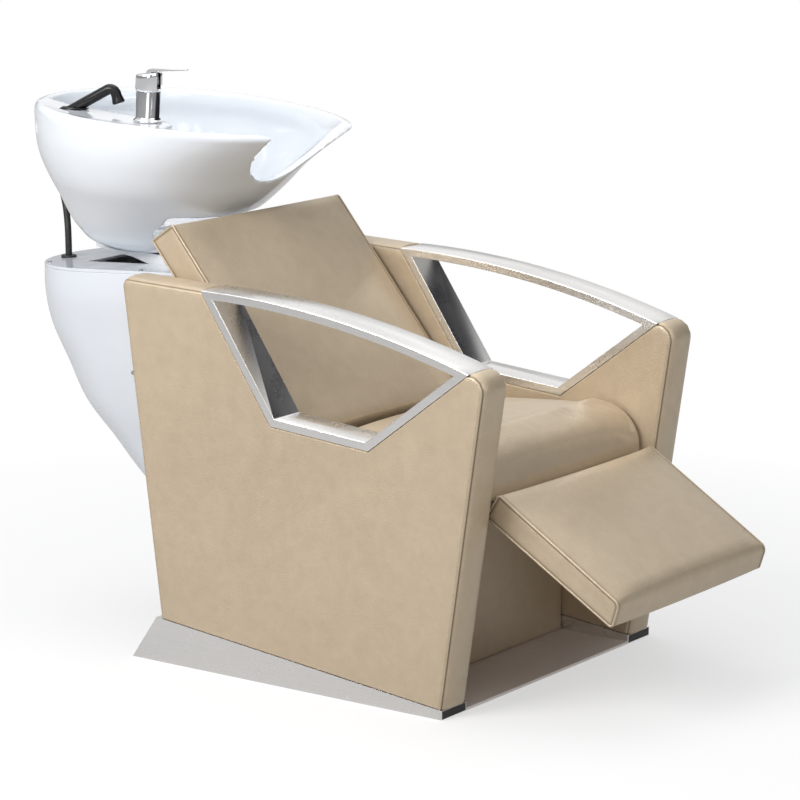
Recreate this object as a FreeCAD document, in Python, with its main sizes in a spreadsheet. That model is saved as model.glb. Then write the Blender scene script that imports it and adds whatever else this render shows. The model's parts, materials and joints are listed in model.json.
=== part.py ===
# Hair washing bed: a salon backwash chair with upholstered side panels, stainless arm
# frames, a raised leg rest and a tilting ceramic basin on a column in a white shroud.
#
# Frame: millimetres, +Z up. The sitter faces -Y, and the sitter's left is +X. The origin
# is on the floor, at the centre of the base. Heights are measured from the floor.
# Stations along the chair are measured from the front edge of the base towards the basin,
# and every piece is shifted by half the base length when it is placed.
import FreeCAD, Part
import Sketcher
import math
import os
import re
from FreeCAD import Placement, Rotation, Vector

# Driving sizes
SIZES = {
    # base and runners
    "base_length": 707,
    "overall_width": 690,
    "panel_width": 76,
    "base_sheet": 5,
    "runner_sheet": 2,
    "runner_front_height": 17,
    "runner_rear_run": 59,
    "cap_depth": 14,
    "fit_gap": 0.3,
    "overrun": 5,
    # side panel outline
    "panel_nose_reach": 90,
    "panel_nose_height": 622,
    "panel_nose_round": 30,
    "panel_rear_station": 722,
    "panel_rear_height": 716,
    "panel_foot_station": 639,
    "panel_foot_height": 84,
    "panel_corner_round": 14,
    "panel_edge_round": 11,
    "side_padding": 14,
    "edge_padding": 13,
    # notch for the arm frame
    "notch_front_reach": 54,
    "notch_low_front_station": 160,
    "notch_low_front_height": 461,
    "notch_low_rear_station": 376,
    "notch_low_rear_height": 479,
    "notch_rear_station": 534,
    "notch_rear_height": 710,
    "arm_crest_station": 250,
    "arm_crest_height": 690,
    "arm_bar": 15,
    # seat
    "crossbar_height": 30,
    "crossbar_depth": 30,
    "crossbar_wall": 2.5,
    "crossbar_low": 340,
    "front_crossbar_station": 22,
    "rear_crossbar_station": 344,
    "end_plate": 4,
    "end_plate_depth": 78,
    "crossbar_bolt": 8,
    "crossbar_bolt_grip": 44,
    "crossbar_bolt_pitch": 54,
    "board_thickness": 18,
    "seat_board_length": 372,
    "seat_gap": 1.5,
    "seat_nose_reach": 26,
    "seat_lip": 16,
    "seat_crest_station": 84,
    "seat_crest_height": 466,
    "seat_back_gap": 2,
    "seat_rear_height": 441,
    "seat_crown": 6,
    "cushion_edge_round": 7,
    # backrest
    "back_foot_station": 373,
    "back_foot_height": 443,
    "back_angle": 50.5,
    "back_length": 469,
    "back_side_gap": 23,
    "back_thickness": 58,
    "back_board": 15,
    "back_board_inset": 14,
    "back_crown": 4,
    "strap_sheet": 6,
    "strap_width": 40,
    "strap_place": 150,
    "strap_reach": 330,
    "strap_screw": 6,
    "strap_screw_pitch": 120,
    # lower front panel
    "front_panel_station": 148,
    "front_panel_padding": 12,
    "front_panel_board": 15,
    "front_panel_gap": 1,
    # leg rest
    "leg_pivot_reach": 45,
    "leg_pivot_height": 352,
    "leg_rest_drop": 32.2,
    "leg_rest_length": 285,
    "leg_rest_side_gap": 9,
    "leg_rest_thickness": 58,
    "leg_rest_behind": 16.3,
    "leg_rest_below": 11.5,
    "leg_rest_crown": 5,
    "leg_rest_board": 12,
    "leg_rest_edge": 20,
    "leg_rest_nose_round": 20,
    "hinge_inset": 70,
    "eye_clearance": 3,
    "hinge_leaf": 5,
    "hinge_leaf_width": 34,
    "hinge_leaf_reach": 190,
    "hinge_ear": 6,
    "hinge_eye_radius": 10,
    "hinge_pin_radius": 5,
    "hinge_pin_head": 4,
    "washer_thickness": 1.2,
    "pin_clearance": 0.05,
    # column and shroud
    "column_foot_station": 580,
    "column_foot_depth": 70,
    "head_setback": 10,
    "column_head_depth": 62,
    "hinge_drop": 54,
    "column_width": 80,
    "column_wall": 3,
    "foot_plate": 8,
    "foot_plate_width": 170,
    "foot_plate_margin": 24,
    "column_bolt": 10,
    "head_plate": 8,
    "shroud_wall": 4,
    "shroud_half_width": 200,
    "shroud_rear_station": 1148,
    "lid_rise": 2,
    "shroud_lid": 6,
    "lid_slope": 3.4,
    "lid_opening_half_width": 102,
    "lid_opening_front": 786,
    "lid_opening_rear": 1014,
    "tie_bar_height": 500,
    "tie_bar_width": 20,
    "tie_bar_sheet": 4,
    "tie_bar_half_length": 173,
    "tie_tab": 34,
    "tie_screw_grip": 9,
    "bracket_half_width": 78,
    "bracket_half_depth": 42,
    "bracket_sheet": 6,
    "head_bolt": 8,
    "shroud_screw": 5,
    "shroud_front_station": 712,
    "lid_boss_radius": 8,
    "lid_boss_depth": 34,
    "lid_opening_round": 12,
    "grommet_place": 62,
    "grommet_station": 1097,
    "grommet_run": 45,
    "hose_union_place": 25,
    "hose_union_height": 540,
    "hose_union_radius": 9,
    "hose_union_length": 16,
    # basin, in its own leaning frame about the tilt hinge
    "hinge_station": 835,
    "hinge_height": 690,
    "basin_lean": 3.5,
    "rim_height": 294,
    "basin_depth": 268,
    "basin_centre": 63,
    "basin_half_width": 268,
    "basin_front_reach": 396,
    "basin_rear_reach": 277,
    "ceramic_wall": 15,
    "bowl_depth": 238,
    "recess_radius": 125,
    "recess_rise": 16,
    "recess_end": 20,
    "ledge_thickness": 14,
    "ledge_corner_round": 38,
    "drain_station": 100,
    "drain_radius": 24,
    "waste_radius": 21,
    "waste_length": 74,
    "strainer_sheet": 2,
    "strainer_depth": 8,
    "strainer_pitch": 12,
    "strainer_hole": 3.5,
    "gasket": 2,
    "gasket_half_width": 84,
    "gasket_front": -4,
    "gasket_rear": 158,
    # tilt hinge
    "tilt_pin_radius": 7,
    "tilt_pin_head": 6,
    "tilt_ear": 6,
    "tilt_ear_radius": 17,
    "tilt_ear_place": 60,
    "tilt_lug": 8,
    "tilt_lug_radius": 14,
    "tilt_plate_half_width": 95,
    "tilt_plate_front": 34,
    "tilt_plate_rear": 165,
    "tilt_plate_depth": 14,
    "tilt_plate_sheet": 5,
    "tilt_skirt_drop": 1,
    # tap
    "tap_place": 174,
    "tap_forward": 22,
    "tap_radius": 23,
    "tap_body_height": 56,
    "tap_cap_height": 24,
    "tap_cap_round": 5,
    "tap_flange_radius": 27,
    "tap_flange": 4,
    "tap_shank_radius": 12,
    "tap_shank_length": 30,
    "tap_spigot_radius": 9,
    "tap_spigot_depth": 12,
    "tap_nut_height": 8,
    "tap_nut_radius": 20,
    "lever_length": 92,
    "lever_width": 9,
    "lever_sheet": 4,
    "lever_rise": 12,
    "lever_pivot_height": 71,
    "lever_boss_radius": 7,
    "lever_pin_radius": 2,
    # hand shower and its hose
    "shower_place": 172,
    "shower_station": 162,
    "shower_rise_angle": 32,
    "shower_turn_angle": 25,
    "shower_radius": 10,
    "shower_reach": 90,
    "shower_tail": 20,
    "spray_radius": 12.5,
    "spray_flare": 12,
    "spray_sheet": 1.5,
    "holder_radius": 14,
    "holder_height": 18,
    "holder_lip": 2.5,
    "hose_radius": 6.5,
    "hose_first_run": 26,
    "hose_inner_place": 146,
    "hose_inner_station": 215,
    "hose_inner_height": 190,
    "hose_outer_place": 98,
    "hose_outer_station": 282,
    "hose_outer_height": 154,
    "hose_exit_gap": 2,
    "hose_exit_start": 6,
    "grommet_radius": 15,
    "grommet_lip": 3,
}

# Sizes that follow from others
DERIVED = {
    "back_width": "overall_width - 2 * panel_width - 2 * back_side_gap",
    "seat_rear_station": "back_foot_station - seat_back_gap",
    "leg_rest_width": "overall_width - 2 * panel_width - 2 * leg_rest_side_gap",
    "hinge_place": "leg_rest_width / 2 - hinge_inset",
    "column_head_station": "hinge_station - column_head_depth / 2 - head_setback",
    "column_head_height": "hinge_height - hinge_drop",
    "shroud_top_height": "hinge_height + lid_rise",
    "grommet_height": "shroud_top_height + shroud_lid / 2 - (grommet_station - hinge_station) * tan(lid_slope)",
}

document = FreeCAD.newDocument("hair_washing_bed")
sheet = document.addObject("Spreadsheet::Sheet", "Sizes")
for row, (alias, number) in enumerate({**SIZES, **DERIVED}.items(), 1):
    sheet.set(f"A{row}", alias)
    sheet.set(f"B{row}", f"={number}")
    sheet.setAlias(f"B{row}", alias)
document.recompute()

pieces = []


# Expressions over the sizes
NAMES = {*SIZES, *DERIVED}


def bound(text):
    """The expression with each size's name pointing at the sheet."""
    return re.sub(r"[a-z_]+", lambda word: ("Sizes." if word.group() in NAMES else "") + word.group(), text)


def value(text):
    return float(sheet.evalExpression(bound(text)))


SHIFT = "-base_length / 2"
INNER_HALF = "(overall_width / 2 - panel_width)"
PANEL_CENTRE = "(overall_width / 2 - panel_width / 2)"
SEAT_LOW = "(crossbar_low + crossbar_height)"
SEAT_BOARD_TOP = "(crossbar_low + crossbar_height + board_thickness)"
SIDES = (("right", -1), ("left", 1))
BASIN = ("0", "hinge_station", "hinge_height", "basin_lean")
LEG_REST = ("0", "-leg_pivot_reach", "leg_pivot_height", "leg_rest_drop")
BACKREST = ("0", "back_foot_station", "back_foot_height", "back_angle")
CHAIR = ("0", "0", "0", "0")
FOOT_MIDDLE = "(column_foot_station + column_foot_depth / 2)"


def keep(item, frame=CHAIR):
    """Names the piece as one of the object's nodes, and places its own frame in the chair."""
    x, y, z, angle = frame
    item.Placement = Placement(Vector(), Rotation(Vector(1, 0, 0), value(angle)))
    item.setExpression("Placement.Base.x", bound(x))
    item.setExpression("Placement.Base.y", bound(f"{y} + {SHIFT}"))
    item.setExpression("Placement.Base.z", bound(z))
    item.setExpression("Placement.Rotation.Angle", bound(f"({angle}) * 1 deg"))
    pieces.append(item)
    return item


# Primitives and booleans
TURN = {"x": Rotation(Vector(0, 1, 0), 90), "y": Rotation(Vector(1, 0, 0), -90), "z": Rotation()}


def block(name, low, lengths):
    item = document.addObject("Part::Box", name)
    for name_of, text in zip(("Length", "Width", "Height"), lengths):
        item.setExpression(name_of, bound(text))
    for axis, text in zip("xyz", low):
        item.setExpression(f"Placement.Base.{axis}", bound(text))
    return item


def rod(name, start, radius, length, axis="z"):
    item = document.addObject("Part::Cylinder", name)
    item.Placement = Placement(Vector(), TURN[axis])
    item.setExpression("Radius", bound(radius))
    item.setExpression("Height", bound(length))
    for along, text in zip("xyz", start):
        item.setExpression(f"Placement.Base.{along}", bound(text))
    return item


def group(name, items):
    item = document.addObject("Part::Compound", name)
    item.Links = list(items)
    return item


def fuse(name, items):
    item = document.addObject("Part::MultiFuse", name)
    item.Shapes = list(items)
    return item


def cut(name, base, tool):
    item = document.addObject("Part::Cut", name)
    item.Base = base
    item.Tool = tool
    return item


def shaped(name, shape):
    item = document.addObject("Part::Feature", name)
    item.Shape = shape
    return item


# Sketched bodies
def sketch_on(body, name, role, offset, outlines):
    """A sketch of closed outlines. An outline is a list of corners or one (y, z, radius) circle."""
    plane = [feature for feature in body.Origin.OriginFeatures if feature.Role == role][0]
    sketch = body.newObject("Sketcher::SketchObject", name)
    sketch.AttachmentSupport = [(plane, "")]
    sketch.MapMode = "FlatFace"
    sketch.setExpression("AttachmentOffset.Base.z", bound(offset))
    for outline in outlines:
        if isinstance(outline, tuple):
            add_circle(sketch, *outline)
        else:
            add_polygon(sketch, outline)
    return sketch


def tie(sketch, kind, *where):
    """A sketch constraint whose number follows an expression."""
    *parts, text = where
    index = sketch.addConstraint(Sketcher.Constraint(kind, *parts, value(text)))
    sketch.setExpression(f"Constraints[{index}]", bound(text))


def add_circle(sketch, across, up, radius):
    centre = Vector(value(across), value(up), 0)
    index = sketch.addGeometry(Part.Circle(centre, Vector(0, 0, 1), value(radius)), False)
    tie(sketch, "DistanceX", -1, 1, index, 3, across)
    tie(sketch, "DistanceY", -1, 1, index, 3, up)
    tie(sketch, "Radius", index, radius)


def add_polygon(sketch, corners):
    places = [Vector(value(across), value(up), 0) for across, up in corners]
    edges = []
    for begin, end in zip(places, places[1:] + places[:1]):
        edges.append(sketch.addGeometry(Part.LineSegment(begin, end), False))
    for edge, following in zip(edges, edges[1:] + edges[:1]):
        sketch.addConstraint(Sketcher.Constraint("Coincident", edge, 2, following, 1))
    for edge, (across, up) in zip(edges, corners):
        tie(sketch, "DistanceX", -1, 1, edge, 1, across)
        tie(sketch, "DistanceY", -1, 1, edge, 1, up)


def body_of(name):
    body = document.addObject("PartDesign::Body", name)
    document.recompute()
    return body


def rectangle(low_y, low_z, high_y, high_z):
    return [(low_y, low_z), (high_y, low_z), (high_y, high_z), (low_y, high_z)]


def plate(name, outline, width, offset="0", frame=CHAIR):
    """A flat piece made of one sketched profile across X."""
    body = body_of(name)
    pad(body, [outline], width, offset)
    return keep(body, frame)


def pad(body, outlines, width, offset="0", role="YZ_Plane"):
    name = f"{body.Name}_pad_{len(body.Group)}"
    feature = body.newObject("PartDesign::Pad", name)
    feature.Profile = sketch_on(body, f"{name}_sketch", role, offset, outlines)
    feature.SideType = "Symmetric"
    feature.setExpression("Length", bound(width))
    body.Tip = feature
    document.recompute()
    return feature


def pocket(body, outlines, width, offset="0", role="YZ_Plane"):
    name = f"{body.Name}_pocket_{len(body.Group)}"
    before = body.Shape.Volume
    feature = body.newObject("PartDesign::Pocket", name)
    feature.Profile = sketch_on(body, f"{name}_sketch", role, offset, outlines)
    feature.SideType = "Symmetric"
    feature.setExpression("Length", bound(width))
    body.Tip = feature
    document.recompute()
    if body.Shape.Volume >= before:
        raise ValueError(f"{name} cuts nothing")
    return feature


def fillet(body, radius, wanted):
    """Rounds the edges that the test picks from the body's present shape."""
    base = body.Tip
    names = [f"Edge{index}" for index, edge in enumerate(base.Shape.Edges, 1) if wanted(edge)]
    feature = body.newObject("PartDesign::Fillet", f"{body.Name}_fillet_{len(body.Group)}")
    feature.Base = (base, names)
    feature.setExpression("Radius", bound(radius))
    body.Tip = feature
    document.recompute()
    return feature


def runs_across(edge):
    """True for a straight edge along X."""
    ends = edge.Vertexes[-1].Point - edge.Vertexes[0].Point
    return abs(ends.y) < Precision and abs(ends.z) < Precision


Precision = value("fit_gap") / 100


# Base
def foot_bolt_places():
    """The tapped holes in the base plate for the bolts of the column's foot."""
    places = []
    for across in (-1, 1):
        for along in (-1, 1):
            places.append((f"{across} * (foot_plate_width / 2 - foot_plate_margin / 2)",
                           f"{FOOT_MIDDLE} + {along} * (column_foot_depth / 2 + foot_plate_margin / 2)",
                           "column_bolt / 2"))
    return places


def make_base():
    floor_plate = body_of("base_plate")
    pad(floor_plate, [rectangle("0", "0", "base_length", "base_sheet")], f"2 * {INNER_HALF}")
    pocket(floor_plate, cleared(foot_bolt_places()), "2 * (base_sheet - fit_gap)", "base_sheet", "XY_Plane")
    keep(floor_plate)
    slope = "((panel_foot_height - runner_front_height) / panel_foot_station)"
    rear_top = "(base_length - runner_rear_run)"
    sheet_up = "runner_sheet"
    for side, sign in SIDES:
        runner = body_of(f"{side}_plinth")
        centre = f"{sign} * {PANEL_CENTRE}"
        outer = [("0", "0"), ("base_length", "0"),
                 (rear_top, f"runner_front_height + {slope} * {rear_top}"), ("0", "runner_front_height")]
        pad(runner, [outer], "panel_width", centre)
        inner_rear = f"({rear_top} - 2 * runner_sheet)"
        inner = [("-overrun", sheet_up), (f"base_length - 4 * runner_sheet", sheet_up),
                 (inner_rear, f"runner_front_height + {slope} * {inner_rear} - runner_sheet"),
                 ("-overrun", f"runner_front_height - {slope} * overrun - runner_sheet")]
        pocket(runner, [inner], "panel_width - 2 * runner_sheet", centre)
        keep(runner)
    caps = []
    for side, sign in SIDES:
        width = "(panel_width - 2 * runner_sheet)"
        caps.append(block(f"{side}_cap", (f"{sign} * {PANEL_CENTRE} - {width} / 2", "0", sheet_up),
                          (width, "cap_depth", "runner_front_height - 2 * runner_sheet")))
    keep(group("plinth_end_caps", caps))


# Side panels
PANEL_OUTLINE = [
    ("0", "runner_front_height"),
    ("-panel_nose_reach", "panel_nose_height"),
    ("-notch_front_reach", "panel_nose_height"),
    ("notch_low_front_station", "notch_low_front_height"),
    ("notch_low_rear_station", "notch_low_rear_height"),
    ("notch_rear_station", "notch_rear_height"),
    ("panel_rear_station", "panel_rear_height"),
    ("panel_foot_station", "panel_foot_height"),
]
BOARD_OUTLINE = [
    ("edge_padding", "runner_front_height + (panel_foot_height - runner_front_height) * edge_padding"
     " / panel_foot_station"),
    ("edge_padding - panel_nose_reach", "panel_nose_height - 2 * edge_padding"),
    ("-notch_front_reach + edge_padding / 2", "panel_nose_height - 2 * edge_padding"),
    ("notch_low_front_station - edge_padding / 2", "notch_low_front_height - edge_padding"),
    ("notch_low_rear_station + edge_padding / 2", "notch_low_rear_height - edge_padding"),
    ("notch_rear_station + edge_padding", "notch_rear_height - edge_padding"),
    ("panel_rear_station - edge_padding", "panel_rear_height - edge_padding"),
    ("panel_foot_station - edge_padding", "panel_foot_height - (panel_foot_height - runner_front_height)"
     " * edge_padding / panel_foot_station"),
]


def crossbar_bolt_places():
    """Stations of the bolts through the end plates: two at each end of each crossbar."""
    stations = []
    for bar in ("front_crossbar_station", "rear_crossbar_station"):
        for sign in (-1, 1):
            stations.append(f"{bar} + crossbar_depth / 2 + {sign} * crossbar_bolt_pitch / 2")
    return stations


def make_panels():
    bolt_height = "(crossbar_low + crossbar_height / 2)"
    hole_radius = "(crossbar_bolt / 2 + fit_gap)"
    holes = [(station, bolt_height, hole_radius) for station in crossbar_bolt_places()]
    for side, sign in SIDES:
        centre = f"{sign} * {PANEL_CENTRE}"
        board = body_of(f"{side}_panel_core")
        board_width = "(panel_width - 2 * side_padding)"
        pad(board, [BOARD_OUTLINE], board_width, centre)
        pocket(board, holes, board_width, centre)
        keep(board)
        cover = body_of(f"{side}_panel_cover")
        pad(cover, [PANEL_OUTLINE], "panel_width", centre)
        nose = (value("-panel_nose_reach"), value("panel_nose_height"))
        fillet(cover, "panel_nose_round", lambda edge: runs_across(edge) and at(edge, nose))
        heel = (value("panel_rear_station"), value("panel_rear_height"))
        fillet(cover, "panel_corner_round", lambda edge: runs_across(edge) and at(edge, heel))
        fillet(cover, "panel_edge_round", lambda edge: on_outer_rim(edge, sign))
        pocket(cover, [BOARD_OUTLINE], board_width, centre)
        skin = f"{sign} * ({INNER_HALF} + side_padding / 2)"
        pocket(cover, holes, "side_padding + overrun", skin)
        keep(cover)


def at(edge, place):
    point = edge.Vertexes[0].Point
    return math.hypot(point.y - place[0], point.z - place[1]) < value("panel_corner_round") / 4


def on_outer_rim(edge, sign):
    """True for the edges round both faces of a panel, except along the notch and the foot."""
    box = edge.BoundBox
    faces = (value(INNER_HALF), value("overall_width / 2"))
    x = abs(box.Center.x)
    if box.XLength > Precision or min(abs(x - face) for face in faces) > Precision:
        return False
    middle = edge.valueAt((edge.FirstParameter + edge.LastParameter) / 2)
    slope = (value("panel_foot_height") - value("runner_front_height")) / value("panel_foot_station")
    on_foot = abs(middle.z - value("runner_front_height") - slope * middle.y) < value("panel_corner_round")
    front, rear = value("-notch_front_reach"), value("notch_rear_station")
    in_notch = front < middle.y < rear and middle.z > value("notch_low_front_height - fit_gap")
    return not on_foot and not in_notch


# Arm frames
def make_arm_frames():
    start = Vector(value("notch_rear_station"), value("notch_rear_height"), 0)
    crest = Vector(value("arm_crest_station"), value("arm_crest_height"), 0)
    end = Vector(value("-notch_front_reach"), value("panel_nose_height"), 0)
    for side, sign in SIDES:
        outline = document.addObject("Sketcher::SketchObject", f"{side}_arm_outline")
        corners = [("notch_rear_station", "notch_rear_height"), ("notch_low_rear_station", "notch_low_rear_height"),
                   ("notch_low_front_station", "notch_low_front_height"), ("-notch_front_reach", "panel_nose_height")]
        places = [Vector(value(across), value(up), 0) for across, up in corners]
        lines = [outline.addGeometry(Part.LineSegment(a, b), False) for a, b in zip(places, places[1:])]
        arch = outline.addGeometry(Part.Arc(start, crest, end), False)
        for line, following in zip(lines, lines[1:]):
            outline.addConstraint(Sketcher.Constraint("Coincident", line, 2, following, 1))
        for line, (across, up) in zip(lines, corners):
            tie(outline, "DistanceX", -1, 1, line, 1, across)
            tie(outline, "DistanceY", -1, 1, line, 1, up)
        tie(outline, "DistanceX", -1, 1, lines[-1], 2, corners[-1][0])
        tie(outline, "DistanceY", -1, 1, lines[-1], 2, corners[-1][1])
        ends = {1: end, 2: start}
        if (outline.getPoint(arch, 1) - start).Length < value("fit_gap"):
            ends = {1: start, 2: end}
        for point, place in ends.items():
            line, tip = (lines[-1], 2) if place is end else (lines[0], 1)
            outline.addConstraint(Sketcher.Constraint("Coincident", arch, point, line, tip))
        mark = outline.addGeometry(Part.Point(crest), True)
        tie(outline, "DistanceX", -1, 1, mark, 1, "arm_crest_station")
        tie(outline, "DistanceY", -1, 1, mark, 1, "arm_crest_height")
        outline.addConstraint(Sketcher.Constraint("PointOnObject", mark, 1, arch))
        outline.Placement = Placement(Vector(), Rotation(Vector(0, 0, 1), Vector(1, 0, 0)))
        outline.Placement = Placement(Vector(), Rotation(Vector(1, 1, 1), 120))
        outline.setExpression("Placement.Base.x", bound(f"{sign} * {PANEL_CENTRE} - panel_width / 2"))
        window = document.addObject("Part::Offset2D", f"{side}_arm_window")
        window.Source = outline
        window.setExpression("Value", bound("-arm_bar"))
        window.Join = "Intersection"
        solids = []
        for profile in (outline, window):
            solid = document.addObject("Part::Extrusion", f"{profile.Name}_solid")
            solid.Base = profile
            solid.DirMode = "Custom"
            solid.Dir = Vector(1, 0, 0)
            solid.setExpression("LengthFwd", bound("panel_width"))
            solid.Solid = True
            solids.append(solid)
        document.recompute()
        keep(cut(f"{side}_arm_frame", *solids))


# Seat
def make_seat():
    low = "crossbar_low"
    for bar in ("front", "rear"):
        station = f"{bar}_crossbar_station"
        middle = f"({station} + crossbar_depth / 2)"
        inside = f"({INNER_HALF} - end_plate)"
        tube = block(f"{bar}_tube", (f"-{inside}", station, low), (f"2 * {inside}", "crossbar_depth", "crossbar_height"))
        hollow = block(f"{bar}_hollow", (f"-{inside}", f"{station} + crossbar_wall", f"{low} + crossbar_wall"),
                       (f"2 * {inside}", "crossbar_depth - 2 * crossbar_wall", "crossbar_height - 2 * crossbar_wall"))
        parts = [cut(f"{bar}_box", tube, hollow)]
        for side, sign in SIDES:
            face = f"{sign} * ({INNER_HALF} - end_plate / 2) - end_plate / 2"
            parts.append(block(f"{bar}_{side}_end", (face, f"{middle} - end_plate_depth / 2", low),
                               ("end_plate", "end_plate_depth", "crossbar_height")))
        joined = fuse(f"{bar}_welded", parts)
        drills = []
        for sign in (-1, 1):
            drills.append(rod(f"{bar}_drill_{sign + 2}", (f"-{INNER_HALF} - overrun",
                          f"{middle} + {sign} * crossbar_bolt_pitch / 2", f"{low} + crossbar_height / 2"),
                          "crossbar_bolt / 2 + fit_gap", f"2 * ({INNER_HALF} + overrun)", "x"))
        keep(cut(f"{bar}_crossbar", joined, group(f"{bar}_drills", drills)))
    bolts = []
    for side, sign in SIDES:
        for number, station in enumerate(crossbar_bolt_places()):
            height = f"{low} + crossbar_height / 2"
            inside = f"({INNER_HALF} - end_plate)"
            start = f"{inside}" if sign > 0 else f"-({inside} + crossbar_bolt_grip)"
            shank = rod(f"{side}_shank_{number}", (start, station, height), "crossbar_bolt / 2",
                        "crossbar_bolt_grip", "x")
            head_start = f"({inside} - crossbar_bolt * 0.7)" if sign > 0 else f"-{inside}"
            head = rod(f"{side}_head_{number}", (head_start, station, height), "crossbar_bolt * 0.8",
                       "crossbar_bolt * 0.7", "x")
            bolts.append(fuse(f"{side}_bolt_{number}", [shank, head]))
    keep(group("crossbar_bolts", bolts))
    half = f"({INNER_HALF} - seat_gap)"
    plate("seat_board", rectangle("0", SEAT_LOW, "seat_board_length", SEAT_BOARD_TOP), f"2 * {half}")
    keep(shaped("seat_cushion", seat_cushion_shape()))


def arc(begin, middle, end):
    return Part.Arc(begin, middle, end).toShape()


def line(begin, end):
    return Part.LineSegment(begin, end).toShape()


def loft(wires, ruled=False):
    return Part.makeLoft(wires, True, ruled)


# Shares of the edge rounding, from a cushion's side towards its middle: where, and how far drawn in
ROUNDING_SHARES = ((0, 1), (0.29, 0.29), (1, 0))


def soft_sections(half_width, rounding, profile):
    """Ruled loft across X through the profile, drawn in towards both sides and crowned between them."""
    stations = [(half_width - where * rounding, inset * rounding) for where, inset in ROUNDING_SHARES]
    stations += [(half_width * share, 0) for share in (0.6, 0.3, 0)]
    places = stations + [(-x, inset) for x, inset in reversed(stations[:-1])]
    wires = []
    for x, inset in places:
        drop = (x / half_width) ** 2
        wire = profile(inset, drop)
        wire.translate(Vector(x, 0, 0))
        wires.append(wire)
    return loft(wires, True)


def seat_cushion_shape():
    board_top = value(SEAT_BOARD_TOP)
    lip = board_top - value("seat_lip")
    nose = -value("seat_nose_reach")
    crest_y, crest_z = value("seat_crest_station"), value("seat_crest_height")
    rear_y, rear_z = value("seat_rear_station"), value("seat_rear_height")
    crown = value("seat_crown")
    board_front = -value("fit_gap")
    shoulder = value("cushion_edge_round")

    def profile(inset, drop):
        sink = inset + drop * crown
        rise = crest_z - board_top
        at_nose = Vector(0, nose + inset, board_top + rise * 0.15)
        over = Vector(0, nose * 0.2 + inset / 2, board_top + rise * 0.8 - sink * 0.8)
        crest = Vector(0, crest_y, crest_z - sink)
        half = Vector(0, (crest_y + rear_y) / 2, (crest_z * 0.58 + rear_z * 0.42) - sink)
        rear = Vector(0, rear_y - inset - shoulder, rear_z - sink)
        turn = Vector(0, rear_y - inset - shoulder * 0.25, rear_z - sink - shoulder * 0.35)
        back = Vector(0, rear_y - inset, rear_z - sink - shoulder)
        low_back = Vector(0, rear_y - inset, board_top)
        low_front = Vector(0, board_front, board_top)
        lip_back = Vector(0, board_front, lip)
        lip_front = Vector(0, nose + inset, lip)
        return Part.Wire([arc(at_nose, over, crest), arc(crest, half, rear), arc(rear, turn, back),
                          line(back, low_back), line(low_back, low_front), line(low_front, lip_back),
                          line(lip_back, lip_front), line(lip_front, at_nose)])

    return soft_sections(value(INNER_HALF) - value("seat_gap"), value("cushion_edge_round"), profile)


def pad_profile(low, high, under, top, corner, heel, crown):
    """Profile of a boxed pad in its YZ plane: round front and rear upper corners and a crowned top."""
    def profile(inset, drop):
        front, rear = low + inset, high - inset
        roof = top - inset - drop * crown
        bulge, heel_bulge = (size * (1 - math.sqrt(0.5)) for size in (corner, heel))
        front_low = Vector(0, front, under)
        front_up = Vector(0, front, roof - crown - corner)
        front_turn = Vector(0, front + bulge, roof - crown - bulge)
        front_top = Vector(0, front + corner, roof - crown)
        middle = Vector(0, (front + rear) / 2, roof)
        rear_top = Vector(0, rear - heel, roof - crown)
        rear_turn = Vector(0, rear - heel_bulge, roof - crown - heel_bulge)
        rear_up = Vector(0, rear, roof - crown - heel)
        rear_low = Vector(0, rear, under)
        return Part.Wire([line(front_low, front_up), arc(front_up, front_turn, front_top),
                          arc(front_top, middle, rear_top), arc(rear_top, rear_turn, rear_up),
                          line(rear_up, rear_low), line(rear_low, front_low)])
    return profile


# Backrest
def back_point(along, up):
    """Chair station and height of a place given along the backrest and off its front face."""
    return (f"(back_foot_station + ({along}) * cos(back_angle) - ({up}) * sin(back_angle))",
            f"(back_foot_height + ({along}) * sin(back_angle) + ({up}) * cos(back_angle))")


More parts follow.
